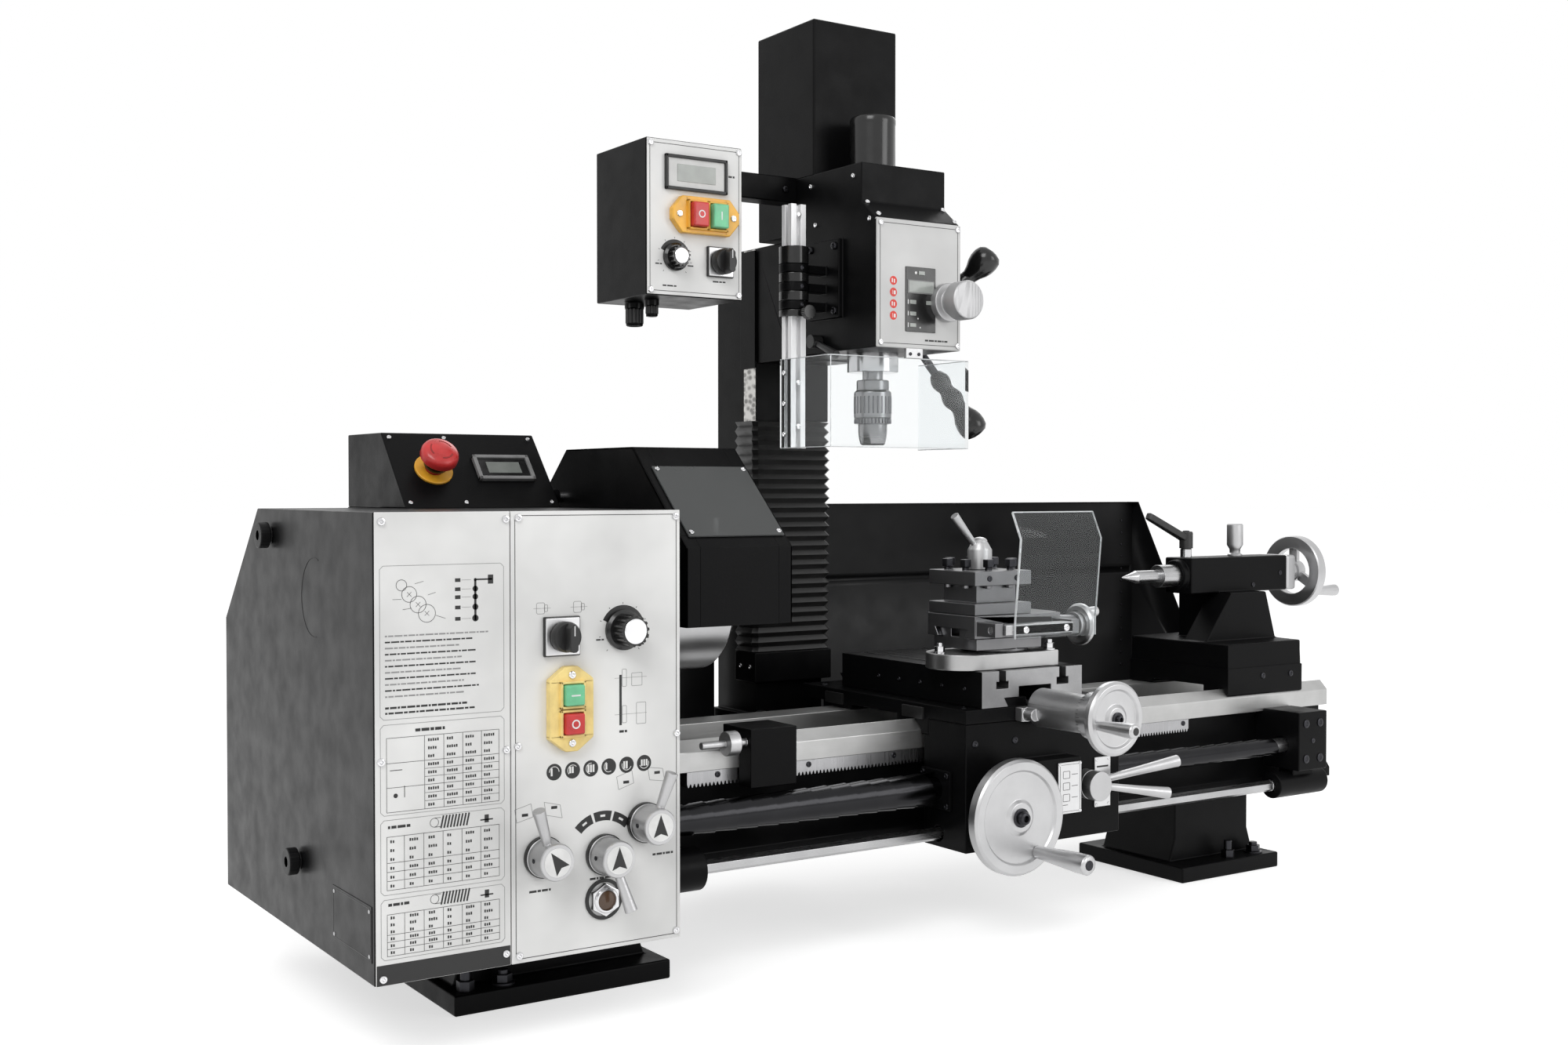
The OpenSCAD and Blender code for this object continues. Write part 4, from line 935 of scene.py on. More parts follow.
def build_castings() -> None:
    """Soften and dress every node whose shape is used as it is."""
    # Upward faces of the cross slide above z 300 are painted near black as a dark reflection on the milled
    # iron.
    table = Casting("cross_slide", IRON, 0.7, {
        PAINTED_REFLECTION_TABLE_TOP: lambda p, n: n.z > 0.9 and p.z > 300,
        BLACK: lambda p, n: abs(n.x) > 0.9 and (p.x < -7 or p.x > 141)})
    lever_metal = {GLOSS_BLACK: lambda p, n: p.y > -216.6}
    pieces = [
        Casting("bed", BLACK, 0.8, {WAY: lambda p, n: p.z > 208.8 and abs(p.y) > 43.8}),
        Casting("pedestals", BLACK, 2.0),
        Casting("rack", RACK, 0.0),
        Casting("splash_guard", SATIN_BLACK, 0.0),
        Casting("headstock", BLACK, 1.0),
        Casting("front_plates", WHITE, 0.5),
        Casting("console", BLACK, 1.2),
        Casting("column", BLACK, 1.5),
        Casting("end_bracket", BLACK, 1.5),
        Casting("gear_cover", SATIN_BLACK, 1.0),
        Casting("lathe_spindle", SHAFT, 0.6),
        Casting("chuck", CHUCK, 0.8),
        Casting("lead_screw", SHAFT, 0.4),
        Casting("feed_rod", SHAFT, 0.3),
        Casting("saddle", BLACK, 1.2),
        Casting("apron", BLACK, 1.5),
        Casting("cross_bracket", CAST_ALLOY, 1.2),
        table,
        Casting("swivel_base", DISC_STEEL, 1.2),
        Casting("compound_base", REST_STEEL, 1.0),
        Casting("compound_slide", REST_STEEL, 0.9),
        Casting("tool_post", REST_STEEL, 0.8, {BLUED: lambda p, n: p.z > 412.5}),
        Casting("carriage_stop", BLACK, 1.0, {CAST_ALLOY: lambda p, n: p.x < -275.3}),
        Casting("tailstock", BLACK, 2.0),
        Casting("tail_quill", SHAFT, 0.4),
        Casting("apron_handwheel", turned("Turned_apron_wheel", (10, -215, 145), Axis.Y), 0.7),
        Casting("cross_handwheel", turned("Turned_cross_wheel", (70, -300, 258), Axis.Y), 0.6),
        Casting("compound_handwheel", turned("Turned_rest_wheel", (185, -118, 342.3), Axis.X), 0.5),
        Casting("halfnut_lever", CAST_ALLOY, 0.8),
        Casting("feed_lever", CAST_ALLOY, 0.8),
        Casting("tool_post_lever", CAST_ALLOY, 0.8),
        Casting("selector_left", CAST_ALLOY, 0.8, lever_metal),
        Casting("selector_mid", CAST_ALLOY, 0.8, lever_metal),
        Casting("selector_right", CAST_ALLOY, 0.8, lever_metal),
        Casting("mill_head", BLACK, 1.5, {PALE_GREY: lambda p, n: p.y < -86.1 and p.z < 806.5}),
        Casting("motor_cover", BLACK, 2.0),
        Casting("mill_quill", QUILL, 0.8),
        Casting("fine_knob", turned("Turned_fine_knob", (4, -110, 716), Axis.Y, 0.5, 0.55), 1.0),
        Casting("quill_lock", MATT_BLACK, 0.6),
        Casting("control_box", BLACK, 1.5),
    ]
    for casting in pieces:
        casting.build()


@dataclass
class PushButton:
    """A square push button with its mark, in place of its plain node."""
    node: str
    finish: Finish
    mark: str

    def build(self) -> None:
        """Make the crowned cap, its stem and the mark on its face."""
        low, high = span(self.node)
        body = body_of(self.node)
        x, z = (low.x + high.x) / 2, (low.z + high.z) / 2
        cap = Work().block((low.x, high.x), (low.y, high.y - 13.5), (low.z, high.z), 1.8, 3)
        cap.block((low.x + 3, high.x - 3), (low.y - 0.02, low.y + 1), (low.z + 3, high.z - 3), 0.3, 1)
        cap.rod((x, low.y + 3, z), (x, high.y, z), 4)
        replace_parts(cap.finish(self.node + "_piece", body, self.finish), self.node)
        ink = Ink(self.node + "_mark", body, BARE_PRINT, Axis.Y, low.y, -1, 0.12)
        if self.mark == "bar":
            ink.box(x - 4.5, x + 4.5, z - 0.7, z + 0.7)
        elif self.mark == "post":
            ink.box(x - 0.7, x + 0.7, z - 4.5, z + 4.5)
        else:
            ink.arc(x, z, 2.9, 4.2, steps=20)
        ink.done()


@dataclass
class SpeedKnob:
    """A fluted knob with a bright cap over a printed crescent."""
    node: str
    body_panel: str
    face: float
    r_skirt: float
    r_grip: float

    def build(self) -> None:
        """Make the knob in the node's place and print its scale on the panel."""
        low, high = span(self.node)
        body = body_of(self.node)
        x, z = (low.x + high.x) / 2, (low.z + high.z) / 2
        top = low.y
        knob = Work().lathe([(0, 0.8), (self.r_skirt, 0.8), (self.r_skirt, 4), (self.r_skirt - 2.5, 6.5),
                             (0, 6.5)], (x, self.face, z), Axis.Y, 48, True)
        knob.prism(star((x, z), self.r_grip, self.r_grip - 1.6, 14), Axis.Y, top + 1.5, self.face - 5)
        knob.rod((x, self.face - 3, z), (x, high.y, z), 4)
        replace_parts(knob.finish(self.node + "_piece", body, GLOSS_BLACK), self.node)
        Work().lathe([(0, 0), (self.r_grip - 3, 0), (self.r_grip - 3, 1.4), (self.r_grip - 3.8, 2.0), (0,
                2.0)],
                     (x, top + 2.0, z), Axis.Y, 40, True).finish(
            self.node + "_cap", body, turned("Turned_" + self.node + "_cap", (x, top, z), Axis.Y, 0.85,
                                             0.2))
        Ink(self.node + "_pointer", body, BARE_PRINT, Axis.Y, self.face - 4, -1, 0.1).box(
            x - 0.5, x + 0.5, z + self.r_skirt - 2, z + self.r_skirt - 0.4).done()
        scale = Ink(self.node + "_scale", self.body_panel, INK, Axis.Y, self.face, -1)
        scale.arc(x, z, self.r_skirt - 1, self.r_skirt + 4, 25, 155)
        for k in range(9):
            a = math.radians(-48 + k * 34.5)
            scale.stroke((x + (self.r_skirt + 5) * math.cos(a), z + (self.r_skirt + 5) * math.sin(a)),
                         (x + (self.r_skirt + 6.6) * math.cos(a), z + (self.r_skirt + 6.6) * math.sin(a)),
                         0.5)
        scale.dashes(x - self.r_skirt - 9, x - self.r_skirt - 1, z - 9, 1.4, 1)
        scale.dashes(x + self.r_skirt + 1, x + self.r_skirt + 9, z - 9, 1.4, 2).done()


@dataclass
class CamSwitch:
    """A rotary cam switch: square plate on the panel and a winged grip that turns."""
    node: str
    body_panel: str
    face: float
    half: float = 17.0

    def build(self) -> None:
        """Make the plate, its dark surround and the grip."""
        low, high = span(self.node)
        body = body_of(self.node)
        x, z = (low.x + high.x) / 2, (low.z + high.z) / 2
        h = self.half
        Work().block((x - h - 1.2, x + h + 1.2), (self.face - 4, self.face), (z - h - 1.2, z + h + 1.2),
                     1.2).finish(
            self.node + "_surround", self.body_panel, GLOSS_BLACK)
        Work().block((x - h, x + h), (self.face - 5.4, self.face - 3), (z - h, z + h), 0.9).finish(
            self.node + "_plate", self.body_panel, BRUSHED_ALLOY)
        grip = Work().lathe([(0, 6.8), (13.5, 6.8), (14, 8), (14, 14), (12.5, 17), (0, 17)],
                            (x, self.face, z), Axis.Y, 48, True)
        grip.prism([(x - 4, z - 11), (x - 2, z - 13), (x + 2, z - 13), (x + 4, z - 11), (x + 4, z + 9),
                    (x, z + 13), (x - 4, z + 9)], Axis.Y, low.y, self.face - 15, 0.9, 2)
        grip.rod((x, self.face - 8, z), (x, high.y, z), 4)
        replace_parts(grip.finish(self.node + "_piece", body, MATT_BLACK), self.node)
        ink = Ink(self.node + "_line", body, BARE_PRINT, Axis.Y, low.y, -1, 0.1)
        ink.box(x - 0.5, x + 0.5, z + 2, z + 11).done()


@dataclass
class SwitchHousing:
    """A moulded frame around a start and a stop button, held by two screws."""
    name: str
    body: str
    finish: Finish
    face: float
    upright: bool
    centre: tuple[float, float]
    length: float
    width: float
    windows: Sequence[tuple[float, float, float, float]]

    def build(self) -> None:
        """Make the frame from its two ends, its sides and the raised rims of the windows."""
        cx, cz = self.centre
        first, centre = (2, cz) if self.upright else (0, cx)
        inner = max(max(abs((w[first] + w[first + 1]) / 2 - centre) + (w[first + 1] - w[first]) / 2
                        for w in self.windows), 1) + 0.6
        half, side = self.length / 2, self.width / 2
        frame_work = Work()
        for sign in (-1, 1):
            end = [(sign * inner, -side), (sign * (half - 12), -side), (sign * half, -6), (sign * half, 6),
                   (sign * (half - 12), side), (sign * inner, side)]
            outline = [(cx + v, cz + u) if self.upright else (cx + u, cz + v) for u, v in end]
            frame_work.prism(outline, Axis.Y, self.face - 9, self.face, 1.4, 3)
        spans = [(w[0], w[1])
                 for w in self.windows] if self.upright else [(w[2], w[3]) for w in self.windows]
        edge_low, edge_high = min(s[0] for s in spans) - 0.6, max(s[1] for s in spans) + 0.6
        middle = cx if self.upright else cz
        for a, b in ((middle - side, edge_low), (edge_high, middle + side)):
            u = (cx - inner - 3, cx + inner + 3) if not self.upright else (a, b)
            v = (cz - inner - 3, cz + inner + 3) if self.upright else (a, b)
            frame_work.block(u, (self.face - 9, self.face), v, 1.2)
        for x0, x1, z0, z1 in self.windows:
            for u, v in (((x0 - 3, x0 - 0.6), (z0 - 3, z1 + 3)), ((x1 + 0.6, x1 + 3), (z0 - 3, z1 + 3)),
                         ((x0 - 3, x1 + 3), (z0 - 3, z0 - 0.6)), ((x0 - 3, x1 + 3), (z1 + 0.6, z1 + 3))):
                frame_work.block(u, (self.face - 12.5, self.face - 0.2), v, 0.7)
        frame_work.finish(self.name, self.body, self.finish)
        reach = half - 8
        heads = [(cx, self.face - 9, cz + s * reach) if self.upright
                 else (cx + s * reach, self.face - 9, cz) for s in (-1, 1)]
        screws(self.name + "_screws", self.body, heads, Axis.Y, -1, 3.6, 1.6, CHROME, 4)


@dataclass
class Display:
    """A framed readout window on a face that looks to -Y, turned about X if asked."""
    name: str
    body: str
    x: tuple[float, float]
    z: tuple[float, float]
    face: float
    rim: float = 5.0
    depth: float = 4.0
    frame_finish: Finish | None = None
    pale: bool = True
    place: Matrix | None = None

    def build(self) -> None:
        """Make the bezel, the inner card and the grey glass."""
        (x0, x1), (z0, z1), y = self.x, self.z, self.face
        bezel = Work()
        for u, v in (((x0, x0 + self.rim), (z0, z1)), ((x1 - self.rim, x1), (z0, z1)),
                     ((x0, x1), (z0, z0 + self.rim)), ((x0, x1), (z1 - self.rim, z1))):
            bezel.block(u, (y - self.depth, y), v, 1.0)
        bezel.finish(self.name + "_bezel", self.body, self.frame_finish or MATT_BLACK, place=self.place)
        card = Work().block((x0 + 1, x1 - 1), (y - self.depth + 2, y), (z0 + 1, z1 - 1))
        card.finish(self.name + "_card", self.body, PALE_CARD if self.pale else GLOSS_BLACK,
                    place=self.place)
        w, h = (x1 - x0 - 2 * self.rim) * 0.16, (z1 - z0 - 2 * self.rim) * 0.2
        glass = Work().block((x0 + self.rim + w, x1 - self.rim - w), (y - self.depth + 1.4, y - 0.5),
                             (z0 + self.rim + h, z1 - self.rim - h), 0.3)
        glass.finish(self.name + "_glass", self.body, LCD if self.pale else LCD_DARK, place=self.place)


@dataclass
class BedAndFeet:
    """The fittings of the bed, its feet, the screw covers and the end bracket."""
    foot_holes: Sequence[tuple[float, float]] = ((-540, -78), (-540, 78), (540, -78), (540, 78))
    jacks: Sequence[tuple[float, float]] = ((489, -80), (-580, -80))
    lead: tuple[float, float] = (-122, 168)

    def bolts(self) -> None:
        """Make the hexagon bolts of the feet and the levelling jacks."""
        work = Work()
        for x, y in self.foot_holes:
            work.lathe([(0, 0), (12, 0), (12, 2), (0, 2)], (x, y, 20), Axis.Z, 32)
            work.rod((x, y, 22), (x, y, 30), 9.5, sides=6, bevel=0.6)
            work.rod((x, y, 6), (x, y, 34), 5.4, sides=20, bevel=0.5)
        for x, y in self.jacks:
            work.rod((x, y, 20), (x, y, 30), 9, sides=6, bevel=0.6)
            work.rod((x, y, 30), (x, y, 42), 5, sides=20, bevel=0.5)
        work.finish("foot_bolts", "base", BLUED)

    def rack_screws(self) -> None:
        """Make the sunk screws along the rack and the bracket's screws."""
        screws("rack_screws", "base", [(x, -88, 204) for x in range(-300, 400, 116)], Axis.Y, -1, 3.2, 1.2,
               BLUED)
        high = span("end_bracket")[1]
        heads = [(x, -150, z) for x in (558, 585) for z in (152, 198)]
        screws("end_bracket_screws", "base", heads, Axis.Y, -1, 5.5, 1.6, BLUED)
        screws("end_bracket_pin", "base", [(571.5, -150, 175)], Axis.Y, -1, 3.2, 1.0, BLUED)
        screws("end_boss_screw", "base", [(high.x, self.lead[0], 117)], Axis.X, 1, 4.5, 1.2, BLUED)

    def spiral(self, node: str, base_end: float, far_end: float, r_base: float, r_far: float) -> None:
        """Wind one telescoping spiral cover, which rides on no body.

        Args:
            node: The plain cover it stands for.
            base_end: Where it meets the fixed end.
            far_end: Where it meets the carriage.
            r_base: Its radius at the fixed end.
            r_far: Its radius at the carriage.
        """
        start, length = min(base_end, far_end), abs(far_end - base_end)
        pitch = 25.0
        turns = int(length / pitch)
        pitch = length / turns
        part = bmesh.new()
        loop = [part.verts.new(p)
                for p in ((start - pitch * 0.05, 0, 0.0), (start + pitch * 0.98, 0, 1.3),
                          (start + pitch * 0.98, 0, 0.2), (start - pitch * 0.05, 0, -0.7))]
        for a, b in zip(loop, loop[1:] + loop[:1]):
            part.edges.new((a, b))
        bmesh.ops.translate(part, vec=(0, 0, 10), verts=part.verts)
        steps = 40 * (turns - 1)
        bmesh.ops.spin(part, geom=part.verts[:] + part.edges[:], cent=(0, 0, 0), axis=(1, 0, 0),
                       angle=math.tau * (turns - 1), dvec=(pitch * (turns - 1) / steps, 0, 0), steps=steps)
        bmesh.ops.holes_fill(part, edges=[e for e in part.edges if e.is_boundary], sides=6)
        for vert in part.verts:
            share = min(max((vert.co.x - base_end) / (far_end - base_end), 0), 1)
            radius = Vector((0, vert.co.y, vert.co.z))
            grown = radius.normalized() * (r_base + (r_far - r_base) * share + radius.length - 11)
            vert.co = Vector((min(max(vert.co.x, start), start + length), grown.y + self.lead[0],
                              grown.z + self.lead[1]))
        cover = Work().take(part)
        cover.rod((start + 0.5, *self.lead), (start + length - 0.5, *self.lead),
                  min(r_base, r_far) - 2.6, sides=36)
        bmesh.ops.scale(cover.whole, vec=(MM, MM, MM), verts=cover.whole.verts)
        mesh = bpy.data.meshes.new(node + "_piece")
        cover.whole.to_mesh(mesh)
        cover.whole.free()
        piece = settle(mesh, node + "_piece", None, SPIRAL, 40)
        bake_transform(piece)
        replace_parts(piece, node)

    def rivets(self) -> None:
        """Make the row of rivets where the splash guard's end sheet joins."""
        screws("splash_guard_rivets", "base", [(609, 237, 240 + 18 * k) for k in range(13)], Axis.Y, -1,
               1.6, 0.8, BLUED)

    def flanges(self) -> None:
        """Make the flanges that hold the covers at the apron."""
        for name, x, sign in (("left", -31, -1), ("right", 202, 1)):
            work = Work()
            work.block((min(x, x + sign * 5), max(x, x + sign * 5)), (-148, -96), (146, 190), 1.5)
            work.finish("cover_flange_" + name, "carriage", BLACK)
            screws("cover_flange_screws_" + name, "carriage",
                   [(x + sign * 5, y, z) for y in (-143, -101) for z in (151, 185)], Axis.X, sign, 3.4, 2.2,
                   BLUED)

    def build(self) -> None:
        """Make every fitting of the bed."""
        self.bolts()
        self.rack_screws()
        self.spiral("screw_cover_left", -416, -31, 16, 19)
        self.spiral("screw_cover_right", 544, 202, 11.5, 13.5)
        self.flanges()
        self.rivets()


@dataclass
class FrontPanels:
    """The two printed front plates of the lathe with their controls."""
    face: float = -210.0
    chart_face: float = -210.0
    dial_face: float = -242.0
    icons: Sequence[float] = (-548, -529.4, -510.8, -492.2, -473.6, -455)

    def chart(self) -> None:
        """Print the chart plate: gear train, notes, tables and screw threads."""
        ink = Ink("chart_lines", "base", INK, Axis.Y, self.chart_face, -1)
        grey = Ink("chart_notes", "base", GREY_INK, Axis.Y, self.chart_face, -1)
        for v0, v1 in ((306, 438), (223.5, 301.5), (155, 219.5), (99, 151)):
            grey.border(-711.5, -597, v0, v1, 0.4)
        for u, v, r in ((-692, 421, 5), (-685, 413, 7), (-677, 404, 7.5), (-669, 396, 8)):
            ink.arc(u, v, r - 0.4, r, steps=22)
        for u, v in ((-685, 413), (-677, 404), (-669, 396)):
            ink.stroke((u - 2, v - 2), (u + 2, v + 2), 0.3).stroke((u - 2, v + 2), (u + 2, v - 2), 0.3)
        for a, b in (((-700, 409), (-692, 409)), ((-691, 400), (-683, 401)), ((-680, 422), (-672, 424)),
                     ((-668, 412), (-661, 414)), ((-661, 394), (-652, 391))):
            ink.stroke(a, b, 0.3)
        for v, half in ((424, 1.4), (416, 2.6), (409, 2.6), (400, 2.8), (390, 3.0)):
            ink.disc(-624, v, half, 12)
            ink.box(-643, -638, v - 1.6, v + 1.6)
            grey.stroke((-637, v), (-628, v), 0.3)
        ink.box(-624, -608, 423.4, 424.8).box(-612, -607, 420, 428).box(-625, -623, 388, 424)
        for row in range(11):
            (ink if row % 2 else grey).dashes(-707, -612 - (row * 13 % 27), 377 - row * 5.2, 1.3, row)
        ink.dashes(-707, -630, 315, 1.8, 3).dashes(-707, -625, 310.5, 1.6, 5)
        ink.dashes(-680, -652, 294, 2.6, 1)
        ink.grid(-706, -602, 226, 290, (0, 0.33, 0.5, 0.67, 0.84, 1), (0, 0.33, 0.66, 1))
        for v in (0.11, 0.22, 0.44, 0.55):
            ink.stroke((-671.5, 226 + 64 * v), (-602, 226 + 64 * v), 0.3)
        for r in range(9):
            for c in range(4):
                self.figures(ink, -668.5 + c * 17.4, 228.3 + r * 7.05, 3 + (r + c) % 3)
        ink.stroke((-703, 262), (-692, 262), 0.6).stroke((-690, 238), (-690, 248), 0.6).disc(-698, 240, 2,
                10)
        for top, base in ((205, 159), (138, 102)):
            self.thread(ink, -661, top + 8)
            ink.dashes(-705, -684, top + 7, 2.4, top)
            ink.box(-620, -608, top + 5, top + 6.2).box(-616, -612, top + 3, top + 10)
            ink.grid(-706, -602, base, top, (0, 0.15, 0.32, 0.49, 0.66, 0.83, 1), (0, 0.17, 0.34, 0.51, 1))
            for r in range(6):
                for c in range(6):
                    self.figures(ink, -703 + c * 17.3, base + (top - base) * (r + 0.3) / 6, 2 + (r * c) % 3)
        ink.box(-715.6, -591.6, 77.4, 95)
        ink.done()
        grey.done()

    def figures(self, ink: Ink, u: float, v: float, count: int) -> None:
        """Print a small figure as a row of blocks."""
        for k in range(count):
            ink.box(u + k * 2.1, u + 1.4 + k * 2.1, v, v + 2.5 - (k % 2) * 0.3)

    def thread(self, ink: Ink, u: float, v: float) -> None:
        """Draw a short length of screw thread.

        Args:
            ink: The print it joins.
            u: Its left end.
            v: Its middle height.
        """
        ink.stroke((u - 2, v - 4), (u + 4, v - 4), 0.4).stroke((u - 2, v + 4), (u + 4, v + 4), 0.4)
        ink.arc(u - 2, v, 3.7, 4.1, steps=16)
        for k in range(9):
            ink.stroke((u + 4 + k * 3, v - 5.5), (u + 6.5 + k * 3, v + 5.5), 1.5)

    def lathe_panel(self) -> None:
        """Print the control panel: border, symbols, icons and the belt diagram."""
        ink = Ink("panel_lines", "base", INK, Axis.Y, self.face, -1)
        grey = Ink("panel_symbols", "base", GREY_INK, Axis.Y, self.face, -1)
        bare = Ink("panel_icon_marks", "base", BARE_PRINT, Axis.Y, self.face - 0.15, -1, 0.12)
        ink.border(-586, -420, 81, 480, 0.6)
        for u in (-559, -522):
            grey.border(u - 6, u + 2, 391, 401, 0.4, 1).stroke((u - 9, 396), (u + 8, 396), 0.3)
            grey.border(u + 2, u + 5, 393, 399, 0.4, 0.5)
        for u in (-486, -462):
            ink.dashes(u, u + 7, 358, 1.8, 2)
        ink.box(-481, -478.5, 284, 331)
        for v in (328, 294):
            grey.border(-478, -473.5, v - 8, v + 8, 0.4, 0.5).stroke((-486, v), (-452, v), 0.3)
        grey.border(-468, -457, 320, 332, 0.4, 0.5).border(-463, -453, 284, 304, 0.4, 0.5)
        ink.dashes(-481, -473, 277, 2.2, 1)
        for number, u in enumerate(self.icons):
            ink.disc(u, 246.5, 7.6)
            for k in range(1 + number % 3):
                bare.box(u - 3.4 + k * 2.6, u - 1.6 + k * 2.6, 243 + number % 2, 250)
            bare.arc(u, 246.5, 4.6, 5.2, 40 * number, 40 * number + 180, 10)
        for a in (45, 77, 109):
            ink.arc(-498, 166, 31, 40, a, a + 28, 8)
            bare.arc(-498, 166, 34.5, 36.5, a + 10, a + 18, 3)
        for u, v, tilt in ((-577, 209, 0.25), (-548, 213, -0.25), (-474, 229, 0.3), (-441, 235, -0.15)):
            corners = [(u - 8, v - 5), (u + 8, v - 5 + 16 * tilt), (u + 6, v + 7 + 16 * tilt), (u - 10,
                    v + 7)]
            for a, b in zip(corners, corners[1:] + corners[:1]):
                grey.stroke(a, b, 0.4)
            ink.box(u - 3, u + 3, v, v + 2.6)
        ink.dashes(-573, -550, 139, 2.0, 2).dashes(-512, -490, 143, 2.0, 4).dashes(-446, -424, 158, 2.0, 3)
        for piece in (ink, grey, bare):
            piece.done()

    def fittings(self) -> None:
        """Make the plates' screws, the sight glass and the selectors' dials."""
        panel = [(-583, 478), (-421, 478), (-584, 273), (-420, 272), (-583, 84), (-421, 84)]
        chart = [(-710, 476), (-595, 477), (-711, 270), (-595, 271), (-710, 83), (-596, 88)]
        screws("panel_screws", "base", [(x, self.face, z) for x, z in panel + chart], Axis.Y, -1, 3.6, 2.2,
               CHROME, 4)
        x, z = -498, 124
        glass = Work().rod((x, self.face - 6, z), (x, self.face, z), 15.5, sides=6, bevel=1.0)
        glass.lathe([(8.5, 0), (12, 0), (12, 7), (11, 8.4), (9.4, 8.4), (8.5, 7), (8.5, 0)],
                    (x, self.face, z), Axis.Y, 40, True)
        glass.finish("sight_glass_ring", "base", CHROME)
        Work().lathe([(15.8, 0), (19, 0), (19, 1.6), (15.8, 1.6), (15.8, 0)], (x, self.face, z), Axis.Y,
                     40, True).finish("sight_glass_gasket", "base", MATT_BLACK)
        Work().lathe([(0, 5), (9, 5), (9, 6.4), (4, 7.2), (0, 7.4)], (x, self.face, z), Axis.Y,
                     40, True).finish("sight_glass_window", "base", SIGHT)
        for node, sx, sz, lean in (("selector_left", -560, 171, 35), ("selector_mid", -498, 166, 0),
                                   ("selector_right", -455, 191, 0)):
            front = self.dial_face
            Ink(node + "_dial", node, BARE_PRINT, Axis.Y, front, -1, 0.3).disc(sx, sz, 13, 36).done()
            arrow = [(0, 11.6), (7.6, -9), (0, -6), (-7.6, -9)]
            c, s = math.cos(math.radians(lean)), math.sin(math.radians(lean))
            Ink(node + "_arrow", node, INK, Axis.Y, front - 0.3, -1, 0.12).shape(
                [(sx + u * c - v * s, sz + u * s + v * c) for u, v in arrow]).done()
            screws(node + "_pin", node, [(sx - 17.2, front + 14, sz + 1)], Axis.X, -1, 2.2, 0.6, BLUED)

    def build(self) -> None:
        """Make both plates' prints, fittings and switches."""
        self.chart()
        self.lathe_panel()
        self.fittings()
        CamSwitch("lathe_cam", "base", self.face).build()
        SpeedKnob("lathe_speed", "base", self.face, 19, 14.6).build()
        start, stop = span("lathe_start"), span("lathe_stop")
        windows = [(s[0].x, s[1].x, s[0].z, s[1].z) for s in (start, stop)]
        SwitchHousing("start_stop_housing", "base", YELLOW, self.face, True, (-534, 304), 78, 44,
                      windows).build()
        PushButton("lathe_start", GREEN, "bar").build()
        PushButton("lathe_stop", RED, "ring").build()


@dataclass
class GearCover:
    """What stands on the gear cover: thumb nuts, a data plate and the round trace."""
    left: float = -717.0

    def build(self) -> None:
        """Make the fittings of the cover's left face."""
        for number, (y, z) in enumerate(((81, 458), (-5, 149))):
            work = Work().prism(star((y, z), 13, 12.2, 22), Axis.X, self.left - 12.6, self.left - 3.2, 0.5,
                                1)
            work.lathe([(0, 3), (8, 3), (8, 1), (5, 0), (0, 0)], (self.left - 13, y, z), Axis.X, 32)
            work.finish("cover_thumb_nut_%d" % (number + 1), "base", MATT_BLACK)
        Work().block((self.left - 0.6, self.left + 0.2), (-203, -102), (96, 145), 0.2, 1).finish(
            "cover_data_plate", "base", SATIN_BLACK)
        Ink("cover_plate_border", "base", DARK_INK, Axis.X, self.left - 0.6, -1).border(
            -200.5, -104.5, 98.5, 142.5, 0.6, 2).done()
        screws("cover_plate_rivets", "base",
               [(self.left - 0.6, y, z) for y in (-198, -107) for z in (101, 140)], Axis.X, -1, 1.8, 0.7,
               CAST_ALLOY)
        Ink("cover_round_trace", "base", TRACE, Axis.X, self.left, -1,
            0.25).arc(-53, 403, 36.5, 37.3, -100, 110, 40).done()


@dataclass
class Console:
    """The sloping switch box: emergency stop, readout and screws."""
    front: tuple[float, float] = (45, 484)
    rise: float = 79
    run: float = 71
    stop_x: float = -546

    def on_slope(self) -> Matrix:
        """Transform from a flat face at y = 0, z up the slope, onto the slope."""
        middle = Matrix.Translation((0, self.front[0] + self.run / 2, self.front[1] + self.rise / 2))
        return middle @ Matrix.Rotation(math.atan2(self.rise, self.run) - math.pi / 2, 4, "X")

    def build(self) -> None:
        """Make the button, its ring, the readout and the screws."""
        slope = self.on_slope()
        x = self.stop_x
        ring = Work().lathe([(9.6, 0), (20.5, 0), (20.5, 1.8), (19.8, 2.4), (9.6, 2.4), (9.6, 0)],
                            (x, 0, 0), Axis.Y, 56, True)
        ring.finish("estop_ring", "base", STOP_RING, place=slope)
        head = Work().lathe([(0, -10), (9, -10), (9, 14), (11.5, 15.5), (13, 17.5), (19, 18.8), (20, 20),
                             (20, 25), (18.8, 28.4), (15.5, 31), (8, 32.6), (0, 33)], (x, 0, 0), Axis.Y, 64,
                            True)
        Work().lathe([(9.1, 7.6), (12.5, 7.6), (13, 9), (13, 13.4), (9.1, 13.4), (9.1, 7.6)], (x, 0, 0),
                     Axis.Y, 48, True).finish("estop_neck", "estop", GLOSS_BLACK, place=slope)
        piece = head.finish("estop_piece", "estop", RED, place=slope)
        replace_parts(piece, "estop")
        arrows = Ink("estop_arrows", "estop", DARK_RED, Axis.Y, -31.7, -1, 0.3)
        for a in (20, 140, 260):
            arrows.arc(x, 0, 10.5, 12.5, a, a + 70, 8)
        bmesh.ops.transform(arrows.work.whole, matrix=slope, verts=arrows.work.whole.verts)
        arrows.done()
        Display("lathe_readout", "base", (-499, -434), (-16, 19), 0, 4.5, 5, GREY_PLASTIC, False,
                slope).build()
        work = Work()
        for sx in (-583, -522, -424):
            for sz in (-46, 46):
                work.screw((sx, 0, sz), Axis.Y, -1, 2.6, 1.6, 4)
        work.finish("console_screws", "base", CHROME, place=slope)


